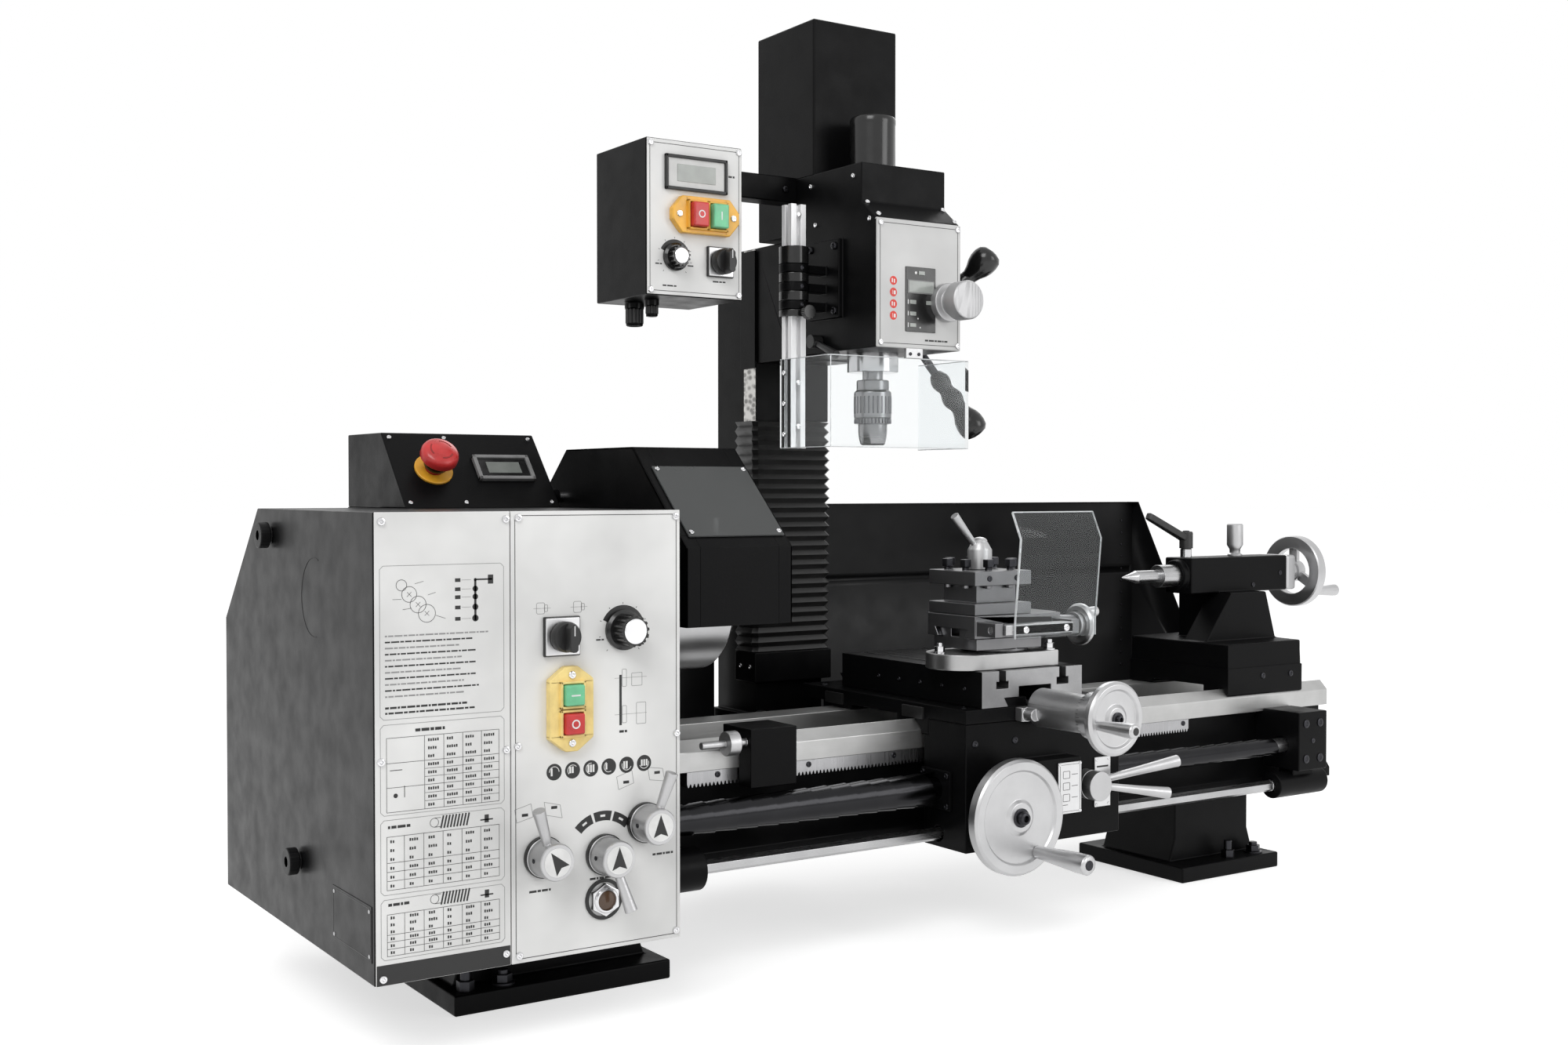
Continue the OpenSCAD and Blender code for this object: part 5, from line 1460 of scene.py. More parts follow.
@dataclass
class ChuckAndHood:
    """The hinged hood over the chuck with its clear window."""
    x: tuple[float, float] = (-390.0, -266.0)
    sheet: float = 2.0
    hinge: tuple[float, float] = (94.0, 495.0)

    def wall(self, work: Work, x0: float, x1: float, parts: str) -> None:
        """Add one stretch of the bent sheet.

        Args:
            work: The piece it joins.
            x0: Left end.
            x1: Right end.
            parts: "all", "low" for what lies under the window or "high" for what lies over it.
        """
        t = self.sheet
        foot, knee, crown = (-178, 368), (-178, 446), (-68, 547)
        rise = Vector(crown) - Vector(knee)
        low_end, high_end = Vector(knee) + rise * 0.12, Vector(knee) + rise * 0.76
        inward = Vector((t * 0.68, -t * 0.74))
        low = [foot, knee, low_end, low_end + inward, (knee[0] + t, knee[1] - t * 0.4),
               (foot[0] + t, foot[1])]
        high = [high_end, crown, (84, 547), (134, 504), (134, 472), (134 - t, 472), (134 - t, 503),
                (83, 547 - t), (crown[0] + t * 0.4, crown[1] - t), high_end + inward]
        if parts in ("all", "low"):
            work.prism(low, Axis.X, x0, x1, 0.4, 1)
        if parts in ("all", "high"):
            work.prism(high, Axis.X, x0, x1, 0.4, 1)
        if parts == "all":
            work.prism([low_end, high_end, high_end + inward, low_end + inward], Axis.X, x0, x1)

    def build(self) -> None:
        """Make the hood's sheets, cheeks, hinge rod, window and screws."""
        x0, x1 = self.x
        hood = Work()
        self.wall(hood, x0, x0 + 16, "all")
        self.wall(hood, x1 - 16, x1, "all")
        self.wall(hood, x0 + 15.9, x1 - 15.9, "low")
        self.wall(hood, x0 + 15.9, x1 - 15.9, "high")
        cheek = [(-178, 368), (-178, 446), (-68, 547), (84, 547), (134, 504), (134, 472), (-88, 472),
                 (-100, 460), (-100, 368)]
        for a, b in ((x0, x0 + self.sheet), (x1 - self.sheet, x1)):
            hood.prism(cheek, Axis.X, a, b, 0.4, 1)
        piece = hood.finish("chuck_guard_piece", "chuck_guard", BLACK)
        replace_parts(piece, "chuck_guard")
        Work().rod((-421, *self.hinge), (-267, *self.hinge), 6, bevel=0.6).finish("hood_hinge_rod",
                "chuck_guard", CHROME)
        slope = Matrix.Translation((0, -123,
                                    496.5)) @ Matrix.Rotation(math.atan2(101, 110) - math.pi / 2, 4, "X")
        Work().block((x0 + 9, x1 - 3), (-2.2, -0.2), (-60, 43), 0.3, 1).finish(
            "hood_window", "chuck_guard", SMOKED, place=slope)
        work = Work()
        for sx in (x0 + 13, x1 - 8):
            for sz in (-55, 38):
                work.screw((sx, -2.2, sz), Axis.Y, -1, 3.0, 2.0, 6)
        work.finish("hood_window_screws", "chuck_guard", CHROME, place=slope)
        detail = Work()
        for k in range(3):
            a = math.radians(30 + 120 * k)
            detail.screw((-270, 56 * math.cos(a), 387 + 56 * math.sin(a)), Axis.X, 1, 5.5, 1.0, 6)
        detail.finish("chuck_screws", body_of("chuck"), BLUED)


@dataclass
class Carriage:
    """Plates, dials, hub screws and wipers of the carriage."""
    front: float = -170.0

    def dial(self, name: str, body: str, centre: Point, axis: Axis, r: float, width: float,
             sign: int) -> None:
        """Mark a graduated collar with fine strokes.

        Args:
            name: The piece's name.
            body: The body it rides on.
            centre: Middle of the collar's outer end.
            axis: The collar's axis.
            r: The collar's radius.
            width: Length of the long strokes.
            sign: The way the collar runs from the centre.
        """
        work = Work()
        for k in range(40):
            length = width if k % 5 == 0 else width * 0.55
            a = math.tau * k / 40
            side = Matrix.Rotation(a, 4, "Z")
            part = bmesh.new()
            bmesh.ops.create_cube(part, size=1, matrix=side @ Matrix.Translation((r, 0, length / 2)) @
                                  Matrix.Diagonal((0.16, 0.4, length, 1)))
            flip = Matrix.Rotation(math.pi, 4, "X") if sign < 0 else Matrix.Identity(4)
            bmesh.ops.transform(part, matrix=Matrix.Translation(centre) @ axis.turn @ flip,
                                verts=part.verts)
            work.take(part)
        work.finish(name, body, INK)

    def hub(self, name: str, body: str, centre: Point, axis: Axis, sign: int, r: float) -> None:
        """Make the washer and socket nut in the middle of a wheel.

        Args:
            name: The piece's name.
            body: The body it rides on.
            centre: Where the wheel's axis meets its face.
            axis: The wheel's axis.
            sign: 1 or -1, the way it stands out.
            r: Radius of the nut.
        """
        work = Work().lathe([(0, 0), (r + 3, 0), (r + 3, 1.2), (r + 2, 1.8), (0, 1.8)], centre, axis, 40,
                            sign < 0)
        middle = list(centre)
        middle[axis.index] += sign * 1.8
        work.screw(tuple(middle), axis, sign, r, r * 0.9, 6)
        work.finish(name, body, BLUED)

    def build(self) -> None:
        """Make every fitting of the carriage."""
        self.hub("apron_wheel_nut", "apron_wheel", (10, -215, 145), Axis.Y, -1, 7.5)
        self.hub("cross_wheel_nut", "cross_wheel", (70, -300, 258), Axis.Y, -1, 4.5)
        for name, body, at, axis, sign, r in (
                ("apron", "apron_wheel", (35.4, -294, 104.4), Axis.Y, -1, 5.5),
                ("rest", "compound_wheel", (223, -110.1, 356), Axis.X, 1, 3.2)):
            screws(name + "_grip_screw", body, [at], axis, sign, r, 0.7, BLUED, 4)
        Ink("cross_grip_screw", "cross_wheel", INK, Axis.Y, -354.99, -1, 0.03).disc(42, 253.5, 4.2).done()
        self.dial("cross_dial_marks", "cross_wheel", (70, -262.4, 258), Axis.Y, 26, 6, -1)
        self.dial("apron_dial_marks", "carriage", (10, self.front - 13.5, 145), Axis.Y, 18, 6, 1)
        plates = Work()
        plates.block((84, 119), (self.front - 24, self.front - 22), (137, 195), 0.5, 1)
        plates.block((161, 186), (self.front - 2, self.front), (134, 192), 0.5, 1)
        plates.finish("apron_plates", "carriage", BRUSHED_ALLOY)
        ink = Ink("apron_plate_marks", "carriage", INK, Axis.Y, self.front - 24, -1)
        ink.border(86.5, 116.5, 139.5, 192.5, 0.4, 1).stroke((90, 147), (98, 147), 0.6)
        for v in (155, 168, 181):
            ink.border(91, 101, v - 4, v + 4, 0.5, 0.5).stroke((104, v), (113, v), 0.6)
        ink.done()
        Ink("feed_plate_marks", "carriage", INK, Axis.Y, self.front - 2, -1).box(164, 182, 180, 182).box(
            167, 179, 144, 146).arc(173, 162, 5, 6, 0, 270, 14).done()
        heads = [(x, self.front - 24, z) for x in (86, 117) for z in (139, 193)]
        heads += [(x, self.front - 2, z) for x in (164, 183) for z in (137, 189)]
        screws("apron_plate_screws", "carriage", heads, Axis.Y, -1, 1.8, 0.8, CHROME, 4)
        screws("apron_face_screws", "carriage",
               [(x, self.front, z) for x, z in ((40, 222), (190, 222), (-18, 222))], Axis.Y, -1, 4, 1.2,
               BLUED)
        wipers = Work()
        for x in (-32.5, 202):
            for y0, y1 in ((-96, -58), (60, 96)):
                wipers.block((x - 1.5, x + 3), (y0, y1), (242.6, 256), 0.6)
        wipers.finish("way_wipers", "carriage", MATT_BLACK)
        screws("bracket_screws", "carriage", [(x, -182, 250) for x in (46, 94)], Axis.Y, -1, 3.5, 2.4,
               BLUED)
        screws("table_gib_screws", "cross", [(-8, y, 280) for y in (-140, -100, -60, -20, 20)], Axis.X, -1,
               2.6, 1.4, BLUED)
        screws("saddle_screws", "carriage", [(x, y, 260) for x in (-18, 186) for y in (-150, 120)], Axis.Z,
               1, 4.5, 1.4, BLUED)


@dataclass
class ToolRest:
    """The tool post's fittings and the clear screen in front of it."""
    pin: tuple[float, float] = (-184.0, 348.3)

    def shield(self) -> None:
        """Make the screen's steel bar, its screws and the bent clear sheet."""
        y, z = self.pin
        bar = Work().block((4.3, 103.7), (y - 12, y + 6), (z - 6, z + 6), 1.4, 3)
        bar.rod((-6.7, y, z), (114.7, y, z), 4, bevel=0.5)
        piece = bar.finish("tool_shield_piece", "tool_shield", SHAFT)
        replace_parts(piece, "tool_shield")
        outline = [(y - 15, z - 10), (y - 12, z - 10), (y - 12, z + 8), (y - 21, z + 100), (y - 7, z + 129),
                   (y - 9.7, z + 130.3), (y - 24, z + 100.4), (y - 15, z + 8)]
        Work().prism(outline, Axis.X, 16.1, 134.9).finish("tool_shield_sheet", "tool_shield", CLEAR)
        edges = Work().prism(outline, Axis.X, 15.3, 16.0, 0.2,
                             1).prism(outline, Axis.X, 135.0, 135.7, 0.2, 1)
        edges.block((16.1, 134.9), (y - 10, y - 6.9), (z + 128.9, z + 130.4), 0.4, 1)
        edges.finish("tool_shield_edges", "tool_shield", CLEAR_EDGE)
        screws("tool_shield_screws", "tool_shield", [(x, y - 15, z) for x in (30, 90)], Axis.Y, -1, 4, 2,
               CHROME)

    def build(self) -> None:
        """Make the screen, clamping bolts, scales and screws."""
        self.shield()
        bolts = Work()
        for x, y in ((-26, -118), (108, -151), (108, -85)):
            bolts.lathe([(0, 0), (7, 0), (7, 1.6), (0, 1.6)], (x, y, 319), Axis.Z, 28)
            bolts.rod((x, y, 320.6), (x, y, 327), 6, sides=6, bevel=0.5)
            bolts.rod((x, y, 319), (x, y, 331), 3.6, sides=16, bevel=0.4)
        bolts.finish("swivel_clamp_nuts", "cross", CHROME)
        marks = Ink("swivel_scale", "cross", INK, Axis.Z, 319, 1, 0.12)
        for k in range(25):
            a = math.radians(180 + k * 7.5)
            inner = 39.5 if k % 4 else 38.6
            marks.stroke((54 + inner * math.cos(a), -118 + inner * math.sin(a)),
                         (54 + 41.4 * math.cos(a), -118 + 41.4 * math.sin(a)), 0.35)
        marks.done()
        screws("rest_gib_screws", "compound", [(x, -160, 348) for x in (30, 56, 82)], Axis.Y, -1, 2.8, 1.4,
               BLUED)
        screws("rest_end_screws", "compound", [(125, y, 349) for y in (-138, -98)], Axis.X, 1, 3, 1.6,
               BLUED)
        Work().lathe([(0, 0), (8.6, 0), (8.6, 2), (7, 4), (4, 5.4), (0, 6)], (32, -118, 443), Axis.Z,
                     32).finish(
            "post_lever_cap", "post_lever", CAST_ALLOY)
        for x in (12, 52):
            screws("post_side_screws_%d" % x, "tool_post", [(x, -159, 403.5)], Axis.Y, -1, 3.4, 1.2, BLUED)


@dataclass
class Tailstock:
    """The tailstock's wheel, lever and grip, with its end plate, screws and scale."""
    wheel: float = 705.0
    lever: Point = (494.0, 0.0, 411.0)
    grip: Point = (590.0, 0.0, 411.3)

    def controls(self) -> None:
        """Make the flat-rimmed wheel, the clamping lever and the grip on the barrel."""
        hub = (self.wheel, 0, 387)
        wheel = Work().lathe([(32, 1.5), (33.5, 0.5), (48.5, 0.5), (50, 2), (50, 14.5), (48.5, 16),
                              (36, 16), (32, 12), (32, 1.5)], hub, Axis.X, 72)
        wheel.lathe([(0, -14.7), (12.6, -14.7), (13, 0), (15, 1), (15, 14.6), (13.6, 16), (0, 16)], hub,
                    Axis.X, 48)
        wheel.rod((552, 0, 387), (self.wheel, 0, 387), 6)
        for k in range(3):
            turn = Matrix.Translation(hub) @ Matrix.Rotation(math.radians(k * 120 - 30), 4, "X")
            wheel.block((5, 12), (10, 36), (-7, 7), 1.5, 2, turn)
        a = math.radians(-48)
        y, z = 41 * math.sin(a), 387 - 41 * math.cos(a)
        wheel.lathe([(0, 12), (5, 12), (5.8, 22), (8, 52), (8, 58), (6, 60), (0, 60)], (self.wheel, y, z),
                    Axis.X, 36)
        finish = turned("Turned_tail_wheel", (713, 0, 387), Axis.X)
        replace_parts(wheel.finish("tail_handwheel_piece", "tail_wheel", finish), "tail_handwheel")
        x, y, z = self.lever
        lever = Work().lathe([(0, -4), (5, -4), (5, 4), (6.6, 4), (6.6, 12), (9, 12.4), (9, 33), (8, 35),
                              (0, 35)], self.lever, Axis.Z, 40)
        arm = Matrix.Translation((x, y, z + 24)) @ Matrix.Rotation(math.radians(24), 4, "Y")
        lever.prism([(-80, -3.5), (-74, -5), (-6, -6.5), (-4, 6.5), (-74, 5), (-80, 3.5)], Axis.Z, -4, 5,
                    1.6, 3, arm)
        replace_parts(lever.finish("tail_clamp_piece", "tail_clamp", MATT_BLACK), "tail_clamp")
        Work().lathe([(5.5, 0.4), (7.6, 0.4), (7.6, 11), (6.8, 12), (5.5, 12), (5.5, 0.4)], self.lever,
                     Axis.Z, 40).finish("tail_clamp_stud", "tail_clamp", CHROME)
        screws("tail_clamp_screw", "tail_clamp", [(x, y, z + 35)], Axis.Z, 1, 4.5, 1.4, BLUED)
        grip = Work().lathe([(0, -3.5), (5, -3.5), (5, 0), (10, 0), (10, 2), (7.2, 4), (7.4, 9), (11, 15),
                             (11, 42.5), (9.8, 44), (0, 44)], self.grip, Axis.Z, 48)
        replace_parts(grip.finish("tail_grip_piece", "tail_grip", CAST_ALLOY), "tail_grip")

    def build(self) -> None:
        """Make the fittings of the tailstock."""
        self.controls()
        plate = Work().block((669.2, 688.5), (-24, 24), (363, 411), 4.0, 4)
        plate.finish("tail_end_plate", "tailstock", CAST_ALLOY)
        screws("tail_end_screws", "tailstock", [(688.5, y, z) for y in (-17, 17) for z in (370, 404)],
               Axis.X, 1, 3.2, 1.6, BLUED)
        screws("tail_side_screws", "tailstock", [(655, -24, 387), (600, -24, 372)], Axis.Y, -1, 3.2, 1.2,
               BLUED)
        screws("tail_base_screws", "tailstock", [(545, -89, 256), (600, -89, 256)], Axis.Y, -1, 4, 1.4,
               BLUED)
        marks = Ink("tail_quill_scale", "tail_quill", INK, Axis.Z, 402, 1, 0.06)
        for k in range(12):
            marks.box(441 + k * 3, 441.3 + k * 3, -1.2, 1.2 if k % 5 else 3.2)
        marks.done()


@dataclass
class MillColumn:
    """The pleated cover and the scraped slideway of the column."""
    x: tuple[float, float] = (-91.0, 25.0)
    y: tuple[float, float] = (167.4, 211.0)
    z: tuple[float, float] = (300.0, 588.0)
    pleats: int = 24

    def bellows(self) -> None:
        """Fold the cover's sheet round the column's front and sides."""
        (x0, x1), (y0, y1), (z0, z1) = self.x, self.y, self.z
        part = bmesh.new()
        path = [(x0, y1), (x0, y0 + 5), (x0 + 5, y0), (x1 - 5, y0), (x1, y0 + 5), (x1, y1)]
        points = [part.verts.new((u, v, z0)) for u, v in path]
        edges = [part.edges.new(pair) for pair in zip(points, points[1:])]
        rise = (z1 - z0) / (2 * self.pleats)
        middle = Matrix.Translation(((x0 + x1) / 2, y1, 0))
        shrink = Vector((0.928, 0.9, 1.0))
        for fold in range(2 * self.pleats):
            grown = bmesh.ops.extrude_edge_only(part, edges=edges)["geom"]
            verts = [g for g in grown if isinstance(g, bmesh.types.BMVert)]
            edges = [g for g in grown if isinstance(g, bmesh.types.BMEdge)]
            factor = shrink if fold % 2 == 0 else Vector([1 / s for s in shrink])
            bmesh.ops.scale(part, vec=factor, space=middle.inverted(), verts=verts)
            bmesh.ops.translate(part, vec=(0, 0, rise), verts=verts)
        bmesh.ops.recalc_face_normals(part, faces=part.faces)
        bmesh.ops.solidify(part, geom=part.faces[:], thickness=0.9)
        cover = Work().take(part)
        bmesh.ops.scale(cover.whole, vec=(MM, MM, MM), verts=cover.whole.verts)
        mesh = bpy.data.meshes.new("bellows_piece")
        cover.whole.to_mesh(mesh)
        cover.whole.free()
        piece = settle(mesh, "bellows_piece", None, BELLOWS, 20)
        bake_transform(piece)
        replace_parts(piece, "bellows")

    def build(self) -> None:
        """Make the cover, the scraped ways and the frame's screws."""
        self.bellows()
        for name, x in (("left", -83.2), ("right", 16.8)):
            Work().block((x, x + 0.4), (177, 204), (520, 802), 0.1, 1).finish(
                "scraped_way_" + name, "base", SCRAPED)
        Work().block((-86.6, -84.4), (173, 207), (654, 800), 0.6).finish("slideway_cover", "head", BLACK)
        screws("bellows_frame_screws", "base", [(-91, y, 281) for y in (177, 199)], Axis.X, -1, 3, 1.4)
        screws("column_foot_screws", "base", [(x, y, 222) for x in (-86, 24) for y in (130, 160)], Axis.Z,
               1, 7, 6, BLUED)


@dataclass
class MillHead:
    """The milling head's front plate, handles, guard and drill chuck."""
    face: float = -89.0
    axis_x: float = -33.0
    guard: tuple[float, float] = (-139.0, 8.0)
    hub: Point = (45.4, 28.0, 686.0)

    def front_plate(self) -> None:
        """Print the plate and make its readout and screws."""
        ink = Ink("mill_panel_lines", "head", INK, Axis.Y, self.face, -1)
        ink.border(-88.5, 22.5, 667, 801, 0.6)
        ink.dashes(-25, 10, 671, 2.0, 1).done()
        red = Ink("mill_panel_icons", "head", RED_INK, Axis.Y, self.face, -1)
        marks = Ink("mill_icon_marks", "head", BARE_PRINT, Axis.Y, self.face - 0.15, -1, 0.12)
        for number, v in enumerate((737, 724, 711, 698)):
            red.disc(-70, v, 5.0, 24)
            marks.box(-72.4 + number % 2, -71, v - 2.2,
                      v + 2.4).box(-69.6, -68 + number % 2, v - 2.4, v + 1.8)
        red.done()
        marks.done()
        Work().block((-53.5, -10.5), (self.face - 1.2, self.face), (681, 754), 0.5, 1).finish(
            "mill_readout_card", "head", GLOSS_BLACK)
        Work().block((-51, -12.5), (self.face - 1.9, self.face - 1), (724, 739.5), 0.3, 1).finish(
            "mill_readout_frame", "head", GREY_PLASTIC)
        Work().block((-49.5, -14), (self.face - 2.2, self.face - 1.7), (725.3, 738.2), 0.1, 1).finish(
            "mill_readout_glass", "head", LCD)
        keys = Work()
        for x, z in ((-31, 747.5), (-43.5, 714.4), (-20, 714.4), (-43.5, 701.3), (-43.5, 688.4)):
            keys.block((x - 4.5, x + 4.5), (self.face - 2.2, self.face - 1), (z - 2.3, z + 2.3), 0.6)
        keys.finish("mill_readout_keys", "head", LCD)
        Ink("mill_readout_marks", "head", BARE_PRINT, Axis.Y, self.face - 1.2, -1, 0.1).disc(-39, 747.5,
                1.6).box(
            -50.5, -49.3, 712, 717).box(-50.5, -49.3, 699, 704).box(-50.5, -49.3, 686, 691).disc(
            -36, 696, 0.9, 10).disc(-33, 686, 0.9, 10).done()
        screws("mill_plate_screws", "head", [(x, self.face, z) for x in (-88, 22) for z in (667.5, 800.5)],
               Axis.Y, -1, 3.4, 2.0, CHROME, 4)
        Work().block((-51, -27), (self.face + 1, self.face + 6), (651, 663.5), 0.8).finish(
            "guard_catch", "head", CAST_ALLOY)
        screws("guard_catch_screws", "head", [(x, self.face + 1, 656) for x in (-45, -33)], Axis.Y, -1, 2,
               1.0, BLUED)

    def cowl(self) -> None:
        """Make the cowl's screws, the drawbar cap and the bracket's screws."""
        slope = [(x, y, z) for x in (-87, 21) for y, z in ((-83.5, 810.5), (-62.5, 826.5))]
        work = Work()
        lean = Matrix.Rotation(math.radians(-37), 4, "X")
        for x, y, z in slope:
            part = Work().screw((0, 0, 0), Axis.Y, -1, 3.0, 2.2, 4)
            bmesh.ops.transform(part.whole, matrix=Matrix.Translation((x, y, z)) @ lean,
                                verts=part.whole.verts)
            mesh = bpy.data.meshes.new("part")
            part.whole.to_mesh(mesh)
            part.whole.free()
            work.whole.from_mesh(mesh)
            bpy.data.meshes.remove(mesh)
        work.finish("cowl_slope_screws", "head", CHROME)
        screws("cowl_side_screws", "head",
               [(-93, y, z) for y, z in ((-45, 858), (40, 858), (120, 858), (-76, 806), (30, 812))], Axis.X,
               -1, 3, 2.0, CHROME, 4)
        cap = Work().lathe([(0, 0), (28, 0), (28, 3), (26.5, 4.5), (26, 6), (26.5, 56), (27, 58), (27, 63),
                            (25.5, 65.4), (23, 66), (0, 66)], (self.axis_x, 0, 872), Axis.Z, 64)
        cap.finish("drawbar_cap", "head", GLOSS_BLACK)
        screws("hinge_bracket_screws", "head", [(-99, y, z) for y in (-16, 32) for z in (708, 782)], Axis.X,
               -1, 4.5, 3.0, BLUED)
        rings = Work()
        for z in (713, 734, 755):
            rings.screw((self.guard[0], self.guard[1] - 17, z), Axis.Y, -1, 2.6, 0.8, 6)
        rings.finish("hinge_ring_screws", "head", BLUED)

    def guard_screen(self) -> None:
        """Make the guard's extruded bar, collars and clear screen."""
        x, y = self.guard
        quarter = [(10, -3), (5.6, -3), (5.6, -5.4), (3.4, -5.4)]
        outline = []
        for k in range(4):
            c, s = ((1, 0), (0, 1), (-1, 0), (0, -1))[k]
            side = [(10, -10)] + quarter + [(3.4, 5.4), (5.6, 5.4), (5.6, 3), (10, 3)]
            outline += [(x + u * c - v * s, y + u * s + v * c) for u, v in side]
        bar = Work().prism(outline, Axis.Z, 550, 828, 0.25, 1)
        bar.finish("guard_bar", "mill_guard", BAR_ALLOY)
        collars = Work()
        for z0, z1 in ((700, 707.7), (718.3, 728.7), (739.3, 749.7), (760.3, 780)):
            collars.rod((x, y, z0), (x, y, z1), 17, sides=56, bevel=0.8)
        collars.rod((x, y, 700.5), (x, y, 779.5), 14.4, sides=48)
        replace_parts(collars.finish("mill_guard_piece", "mill_guard", GLOSS_BLACK), "mill_guard")
        knob = Work().prism(star((x + 2, 704), 8.2, 7.6, 24), Axis.Y, y - 30, y - 23, 0.4, 1)
        knob.rod((x + 2, y - 24, 704), (x + 2, y - 15, 704),
                 3).finish("guard_thumb_screw", "mill_guard", GLOSS_BLACK)
        sheet = [(x - 13, 17), (x - 13, -83), (44, -83), (44, 8), (41, 8), (41, -80), (x - 10, -80),
                 (x - 10, 17)]
        Work().prism(sheet, Axis.Z, 551, 651).finish("guard_screen", "mill_guard", CLEAR)
        Work().prism(sheet, Axis.Z, 550, 550.9, 0.2, 1).prism(sheet, Axis.Z, 651.1, 652, 0.2, 1).finish(
            "guard_screen_edges", "mill_guard", CLEAR_EDGE)
        screws("guard_bar_screws", "mill_guard", [(x, y - 10, z) for z in (575, 625, 816)], Axis.Y, -1, 3.2,
               1.6)
        screws("guard_sheet_screws", "mill_guard", [(x - 13, y, z) for z in (566, 601, 636)], Axis.X, -1, 3,
               1.6, CHROME)

    def handles(self) -> None:
        """Make the down-feed hub with its three lobed grips."""
        hub = Work().lathe([(0, -21), (8, -21), (8, -0.5), (17, -0.5), (17, 28), (15, 31.5), (10, 33),
                            (0, 33)], (27.4, self.hub[1], self.hub[2]), Axis.X, 56)
        profile = [(0, 52), (7, 52), (9, 55), (11.4, 60), (12, 65), (10.8, 70), (9, 74.5), (9.4, 78),
                   (12, 84), (13, 89), (12.2, 94), (10, 99), (9.6, 103), (11.6, 109), (15.2, 116),
                   (17, 123), (17.2, 130), (16, 136.5), (12, 141), (5, 142.8), (0, 143)]
        grips, spokes = Work(), Work()
        for k in range(3):
            way = (Matrix.Translation(self.hub) @ Matrix.Rotation(math.radians(k * 120 + 7), 4, "X")
                   @ Matrix.Rotation(math.radians(-27), 4, "Z") @ Matrix.Rotation(math.radians(-90), 4,
                           "X"))
            for work, points in ((grips, profile), (spokes, [(0, 0), (5, 0), (5, 88), (0, 88)])):
                part = bmesh.new()
                line = [part.verts.new((r, 0, z)) for r, z in points]
                for a, b in zip(line, line[1:]):
                    part.edges.new((a, b))
                bmesh.ops.spin(part, geom=part.verts[:] + part.edges[:], cent=(0, 0, 0), axis=(0, 0, 1),
                               angle=math.tau, steps=40, use_merge=True)
                bmesh.ops.remove_doubles(part, verts=part.verts, dist=0.001)
                bmesh.ops.transform(part, matrix=way, verts=part.verts)
                work.take(part)
        grips.finish("feed_grips", "feed_handles", GLOSS_BLACK, 50)
        spokes.finish("feed_spokes", "feed_handles", BLUED)
        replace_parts(hub.finish("feed_handles_piece", "feed_handles", BLACK), "feed_handles")

    def drill_chuck(self) -> None:
        """Make the keyed drill chuck under the quill."""
        x = self.axis_x
        body = Work().lathe([(0, 30), (5, 30), (5, 0), (12.5, 0), (14.6, 1.6), (16.2, 8), (17, 16),
                             (17, 24), (20.6, 25), (20.6, 31), (22, 32), (22, 61), (20.8, 63), (19, 64.5),
                             (19, 75), (18, 76), (12, 76), (12, 311), (0, 311)], (x, 0, 555), Axis.Z, 64)
        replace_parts(body.finish("mill_spindle_piece", "mill_spindle", CHUCK_STEEL), "mill_spindle")
        # The key ring and the sleeve ribs are darker than the body: partly their own steel, partly painted
        # dark reflection bands.
        teeth = Work().prism(star((x, 0), 22, 20, 30), Axis.Z, 580.3, 585.8, 0.3, 1)
        for k in range(26):
            turn = Matrix.Rotation(math.tau * k / 26, 4, "Z")
            part = bmesh.new()
            bmesh.ops.create_cube(part, size=1, matrix=Matrix.Translation((x, 0, 602)) @ turn @
                                  Matrix.Translation((22.0, 0, 0)) @ Matrix.Diagonal((0.6, 1.9, 20, 1)))
            teeth.take(part, 0.2, 1)
        teeth.finish("drill_chuck_sleeve", "mill_spindle", SLEEVE_STEEL_AND_PAINTED_REFLECTION)

    def build(self) -> None:
        """Make every fitting of the head."""
        self.front_plate()
        self.cowl()
        self.guard_screen()
        self.handles()
        self.drill_chuck()
        screws("fine_knob_screw", "fine_knob", [(26, -121, 716)], Axis.X, 1, 2.4, 0.5, BLUED)


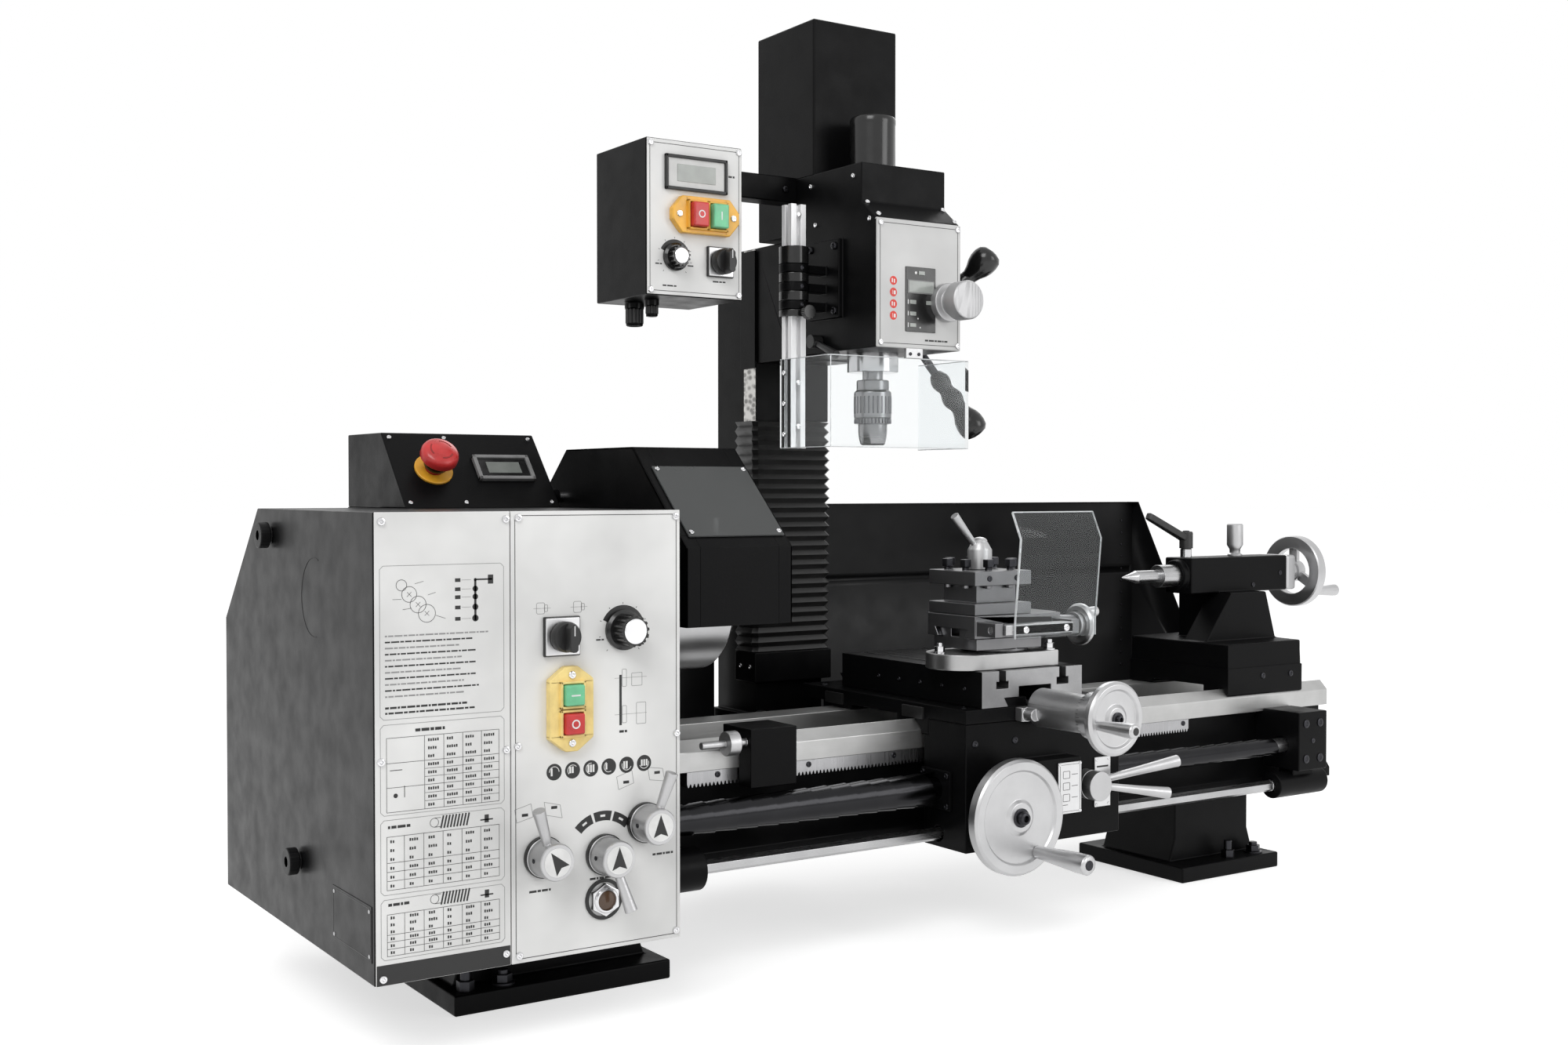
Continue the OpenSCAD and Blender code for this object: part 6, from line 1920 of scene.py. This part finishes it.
@dataclass
class ControlBox:
    """The mill's control box: face plate, readout, switches and glands."""
    face: float = -11.0

    def build(self) -> None:
        """Make the plate, its print, the controls and the glands."""
        y = self.face
        holes = Work().block((-341, -222), (y - 0.5, y), (713, 879), 0.2, 1)
        holes.finish("control_face_plate", "head", WHITE)
        ink = Ink("control_panel_lines", "head", INK, Axis.Y, y - 0.5, -1)
        ink.border(-337.5, -225.5, 717, 875, 0.6).dashes(-322, -305, 722, 1.6, 1).dashes(-259, -243, 730,
                1.6, 2)
        ink.dashes(-239, -231, 846, 2.2, 1).done()
        screws("control_plate_screws", "head",
               [(x, y - 0.5, z) for x in (-337, -226) for z in (717.5, 874.5)], Axis.Y, -1, 3.6, 2.2,
               CHROME, 4)
        Display("mill_speed_readout", "head", (-320, -242), (826, 864), y - 0.5, 3.6, 4.5).build()
        start, stop = span("control_start"), span("control_stop")
        windows = [(s[0].x, s[1].x, s[0].z, s[1].z) for s in (stop, start)]
        SwitchHousing("mill_switch_housing", "head", ORANGE, y - 0.5, False, (-272, 800), 84, 40,
                      windows).build()
        PushButton("control_start", GREEN, "post").build()
        PushButton("control_stop", RED, "ring").build()
        SpeedKnob("control_knob", "head", y - 0.5, 15, 11.4).build()
        CamSwitch("control_cam", "head", y - 0.5, 15.5).build()
        glands = Work()
        for yy, r in ((32, 7.5), (72, 10.5)):
            low = 712 - 2.5 * r
            glands.rod((-311, yy, 705.4), (-311, yy, 711.8), r + 0.6, sides=6, bevel=0.8)
            glands.prism(star((-311, yy), r - 0.3, r - 1, 14), Axis.Z, low + 3, 705, 0.3, 1)
            glands.lathe([(r - 4, 0), (r - 2.4, 0), (r - 1.2, 1.6), (r - 1.2, 5), (r - 4, 5), (r - 4, 0)],
                         (-311, yy, low - 0.2), Axis.Z, 28)
        glands.finish("cable_glands", "head", MATT_BLACK)
        screws("control_top_screws", "head", [(x, yy, 880) for x in (-334, -229) for yy in (-2, 96)],
               Axis.Z, 1, 2.4, 1.0, BLUED)
        screws("control_arm_screws", "head", [(x, 70, 858) for x in (-205, -110)], Axis.Y, -1, 4, 2.4,
               BLUED)


@dataclass
class Studio:
    """Pale floor, soft light and the camera."""
    place: Point = (-1.2210, -1.6022, 0.5047)
    pitch: float = -1.168
    yaw: float = -33.5668
    lens: float = 38.826

    def seen(self, tree: bpy.types.NodeTree, unseen: float, shown: float) -> bpy.types.NodeSocket:
        """Tell what is looked at, reflected or seen through from what only lights.

        Args:
            tree: The material's or the world's nodes.
            unseen: Value for rays that only light the object.
            shown: Value for camera, glossy and transmission rays.

        Returns:
            The value's output.
        """
        path = tree.nodes.new("ShaderNodeLightPath")
        joined = path.outputs["Is Camera Ray"]
        for ray in ("Is Glossy Ray", "Is Transmission Ray"):
            either = tree.nodes.new("ShaderNodeMath")
            either.operation = "MAXIMUM"
            tree.links.new(joined, either.inputs[0])
            tree.links.new(path.outputs[ray], either.inputs[1])
            joined = either.outputs[0]
        level = tree.nodes.new("ShaderNodeMapRange")
        level.inputs["To Min"].default_value = unseen
        level.inputs["To Max"].default_value = shown
        tree.links.new(joined, level.inputs["Value"])
        return level.outputs["Result"]

    def floor(self) -> None:
        """Make the floor, which shows the shadow on white."""
        part = bmesh.new()
        bmesh.ops.create_grid(part, x_segments=1, y_segments=1, size=30)
        mesh = bpy.data.meshes.new("studio_floor")
        part.to_mesh(mesh)
        part.free()
        board = Board("Studio_floor_white")
        board.shader.inputs["Base Color"].default_value = (0.80, 0.80, 0.80, 1)
        board.shader.inputs["Roughness"].default_value = 0.9
        board.shader.inputs["Specular IOR Level"].default_value = 0.0
        board.shader.inputs["Emission Color"].default_value = (1, 1, 1, 1)
        board.link(self.seen(board.tree, 0.0, FLOOR_SHOWN), board.shader.inputs["Emission Strength"])
        mesh.materials.append(board.material)
        floor = bpy.data.objects.new("studio_floor", mesh)
        bpy.context.scene.collection.objects.link(floor)

    def world(self) -> None:
        """Make a white surround that lights the object at a lower level than it shows."""
        world = bpy.data.worlds.new("Studio_surround")
        world.use_nodes = True
        tree = world.node_tree
        back = tree.nodes["Background"]
        back.inputs["Color"].default_value = (1, 1, 1, 1)
        tree.links.new(self.seen(tree, SURROUND_LIGHT, SURROUND_SHOWN), back.inputs["Strength"])
        bpy.context.scene.world = world

    def lamp(self, name: str, place: Point, target: Point, size: float, power: float) -> None:
        """Hang one soft square lamp.

        Args:
            name: Its name.
            place: Where it hangs, in metres.
            target: The point it faces, in metres.
            size: Length of its side, in metres.
            power: Its power in watts.
        """
        data = bpy.data.lights.new(name, "AREA")
        data.size, data.energy = size, power
        lamp = bpy.data.objects.new(name, data)
        lamp.location = place
        lamp.rotation_euler = (Vector(target) - Vector(place)).to_track_quat("-Z", "Y").to_euler()
        bpy.context.scene.collection.objects.link(lamp)

    def camera(self) -> None:
        """Set up the camera at the object's viewing angle."""
        data = bpy.data.cameras.new("studio_camera")
        data.lens, data.sensor_width, data.clip_end = self.lens, 36.0, 100.0
        camera = bpy.data.objects.new("studio_camera", data)
        camera.location = self.place
        camera.rotation_euler = (math.radians(90 + self.pitch), 0, math.radians(self.yaw))
        bpy.context.scene.collection.objects.link(camera)
        bpy.context.scene.camera = camera

    def build(self) -> None:
        """Make the whole studio."""
        self.floor()
        self.world()
        self.camera()
        self.lamp("key_lamp", (-2.2, -1.8, 2.6), (0, 0, 0.4), 1.6, 40)
        self.lamp("front_lamp", (1.4, -2.6, 1.3), (0, 0, 0.3), 1.4, 18)
        self.lamp("rear_lamp", (1.6, 1.6, 2.4), (0, 0, 0.5), 1.6, 20)
        bpy.context.scene.view_settings.view_transform = "Standard"


def main() -> None:
    """Build the studio and every sub-assembly in order."""
    logging.basicConfig(level=logging.INFO, format="%(name)s: %(message)s")
    Studio().build()
    build_castings()
    for assembly in (BedAndFeet(), FrontPanels(), GearCover(), Console(), ChuckAndHood(), Carriage(),
                     ToolRest(), Tailstock(), MillColumn(), MillHead(), ControlBox()):
        log.info("building %s", type(assembly).__name__)
        assembly.build()


if __name__ == "__main__":
    main()
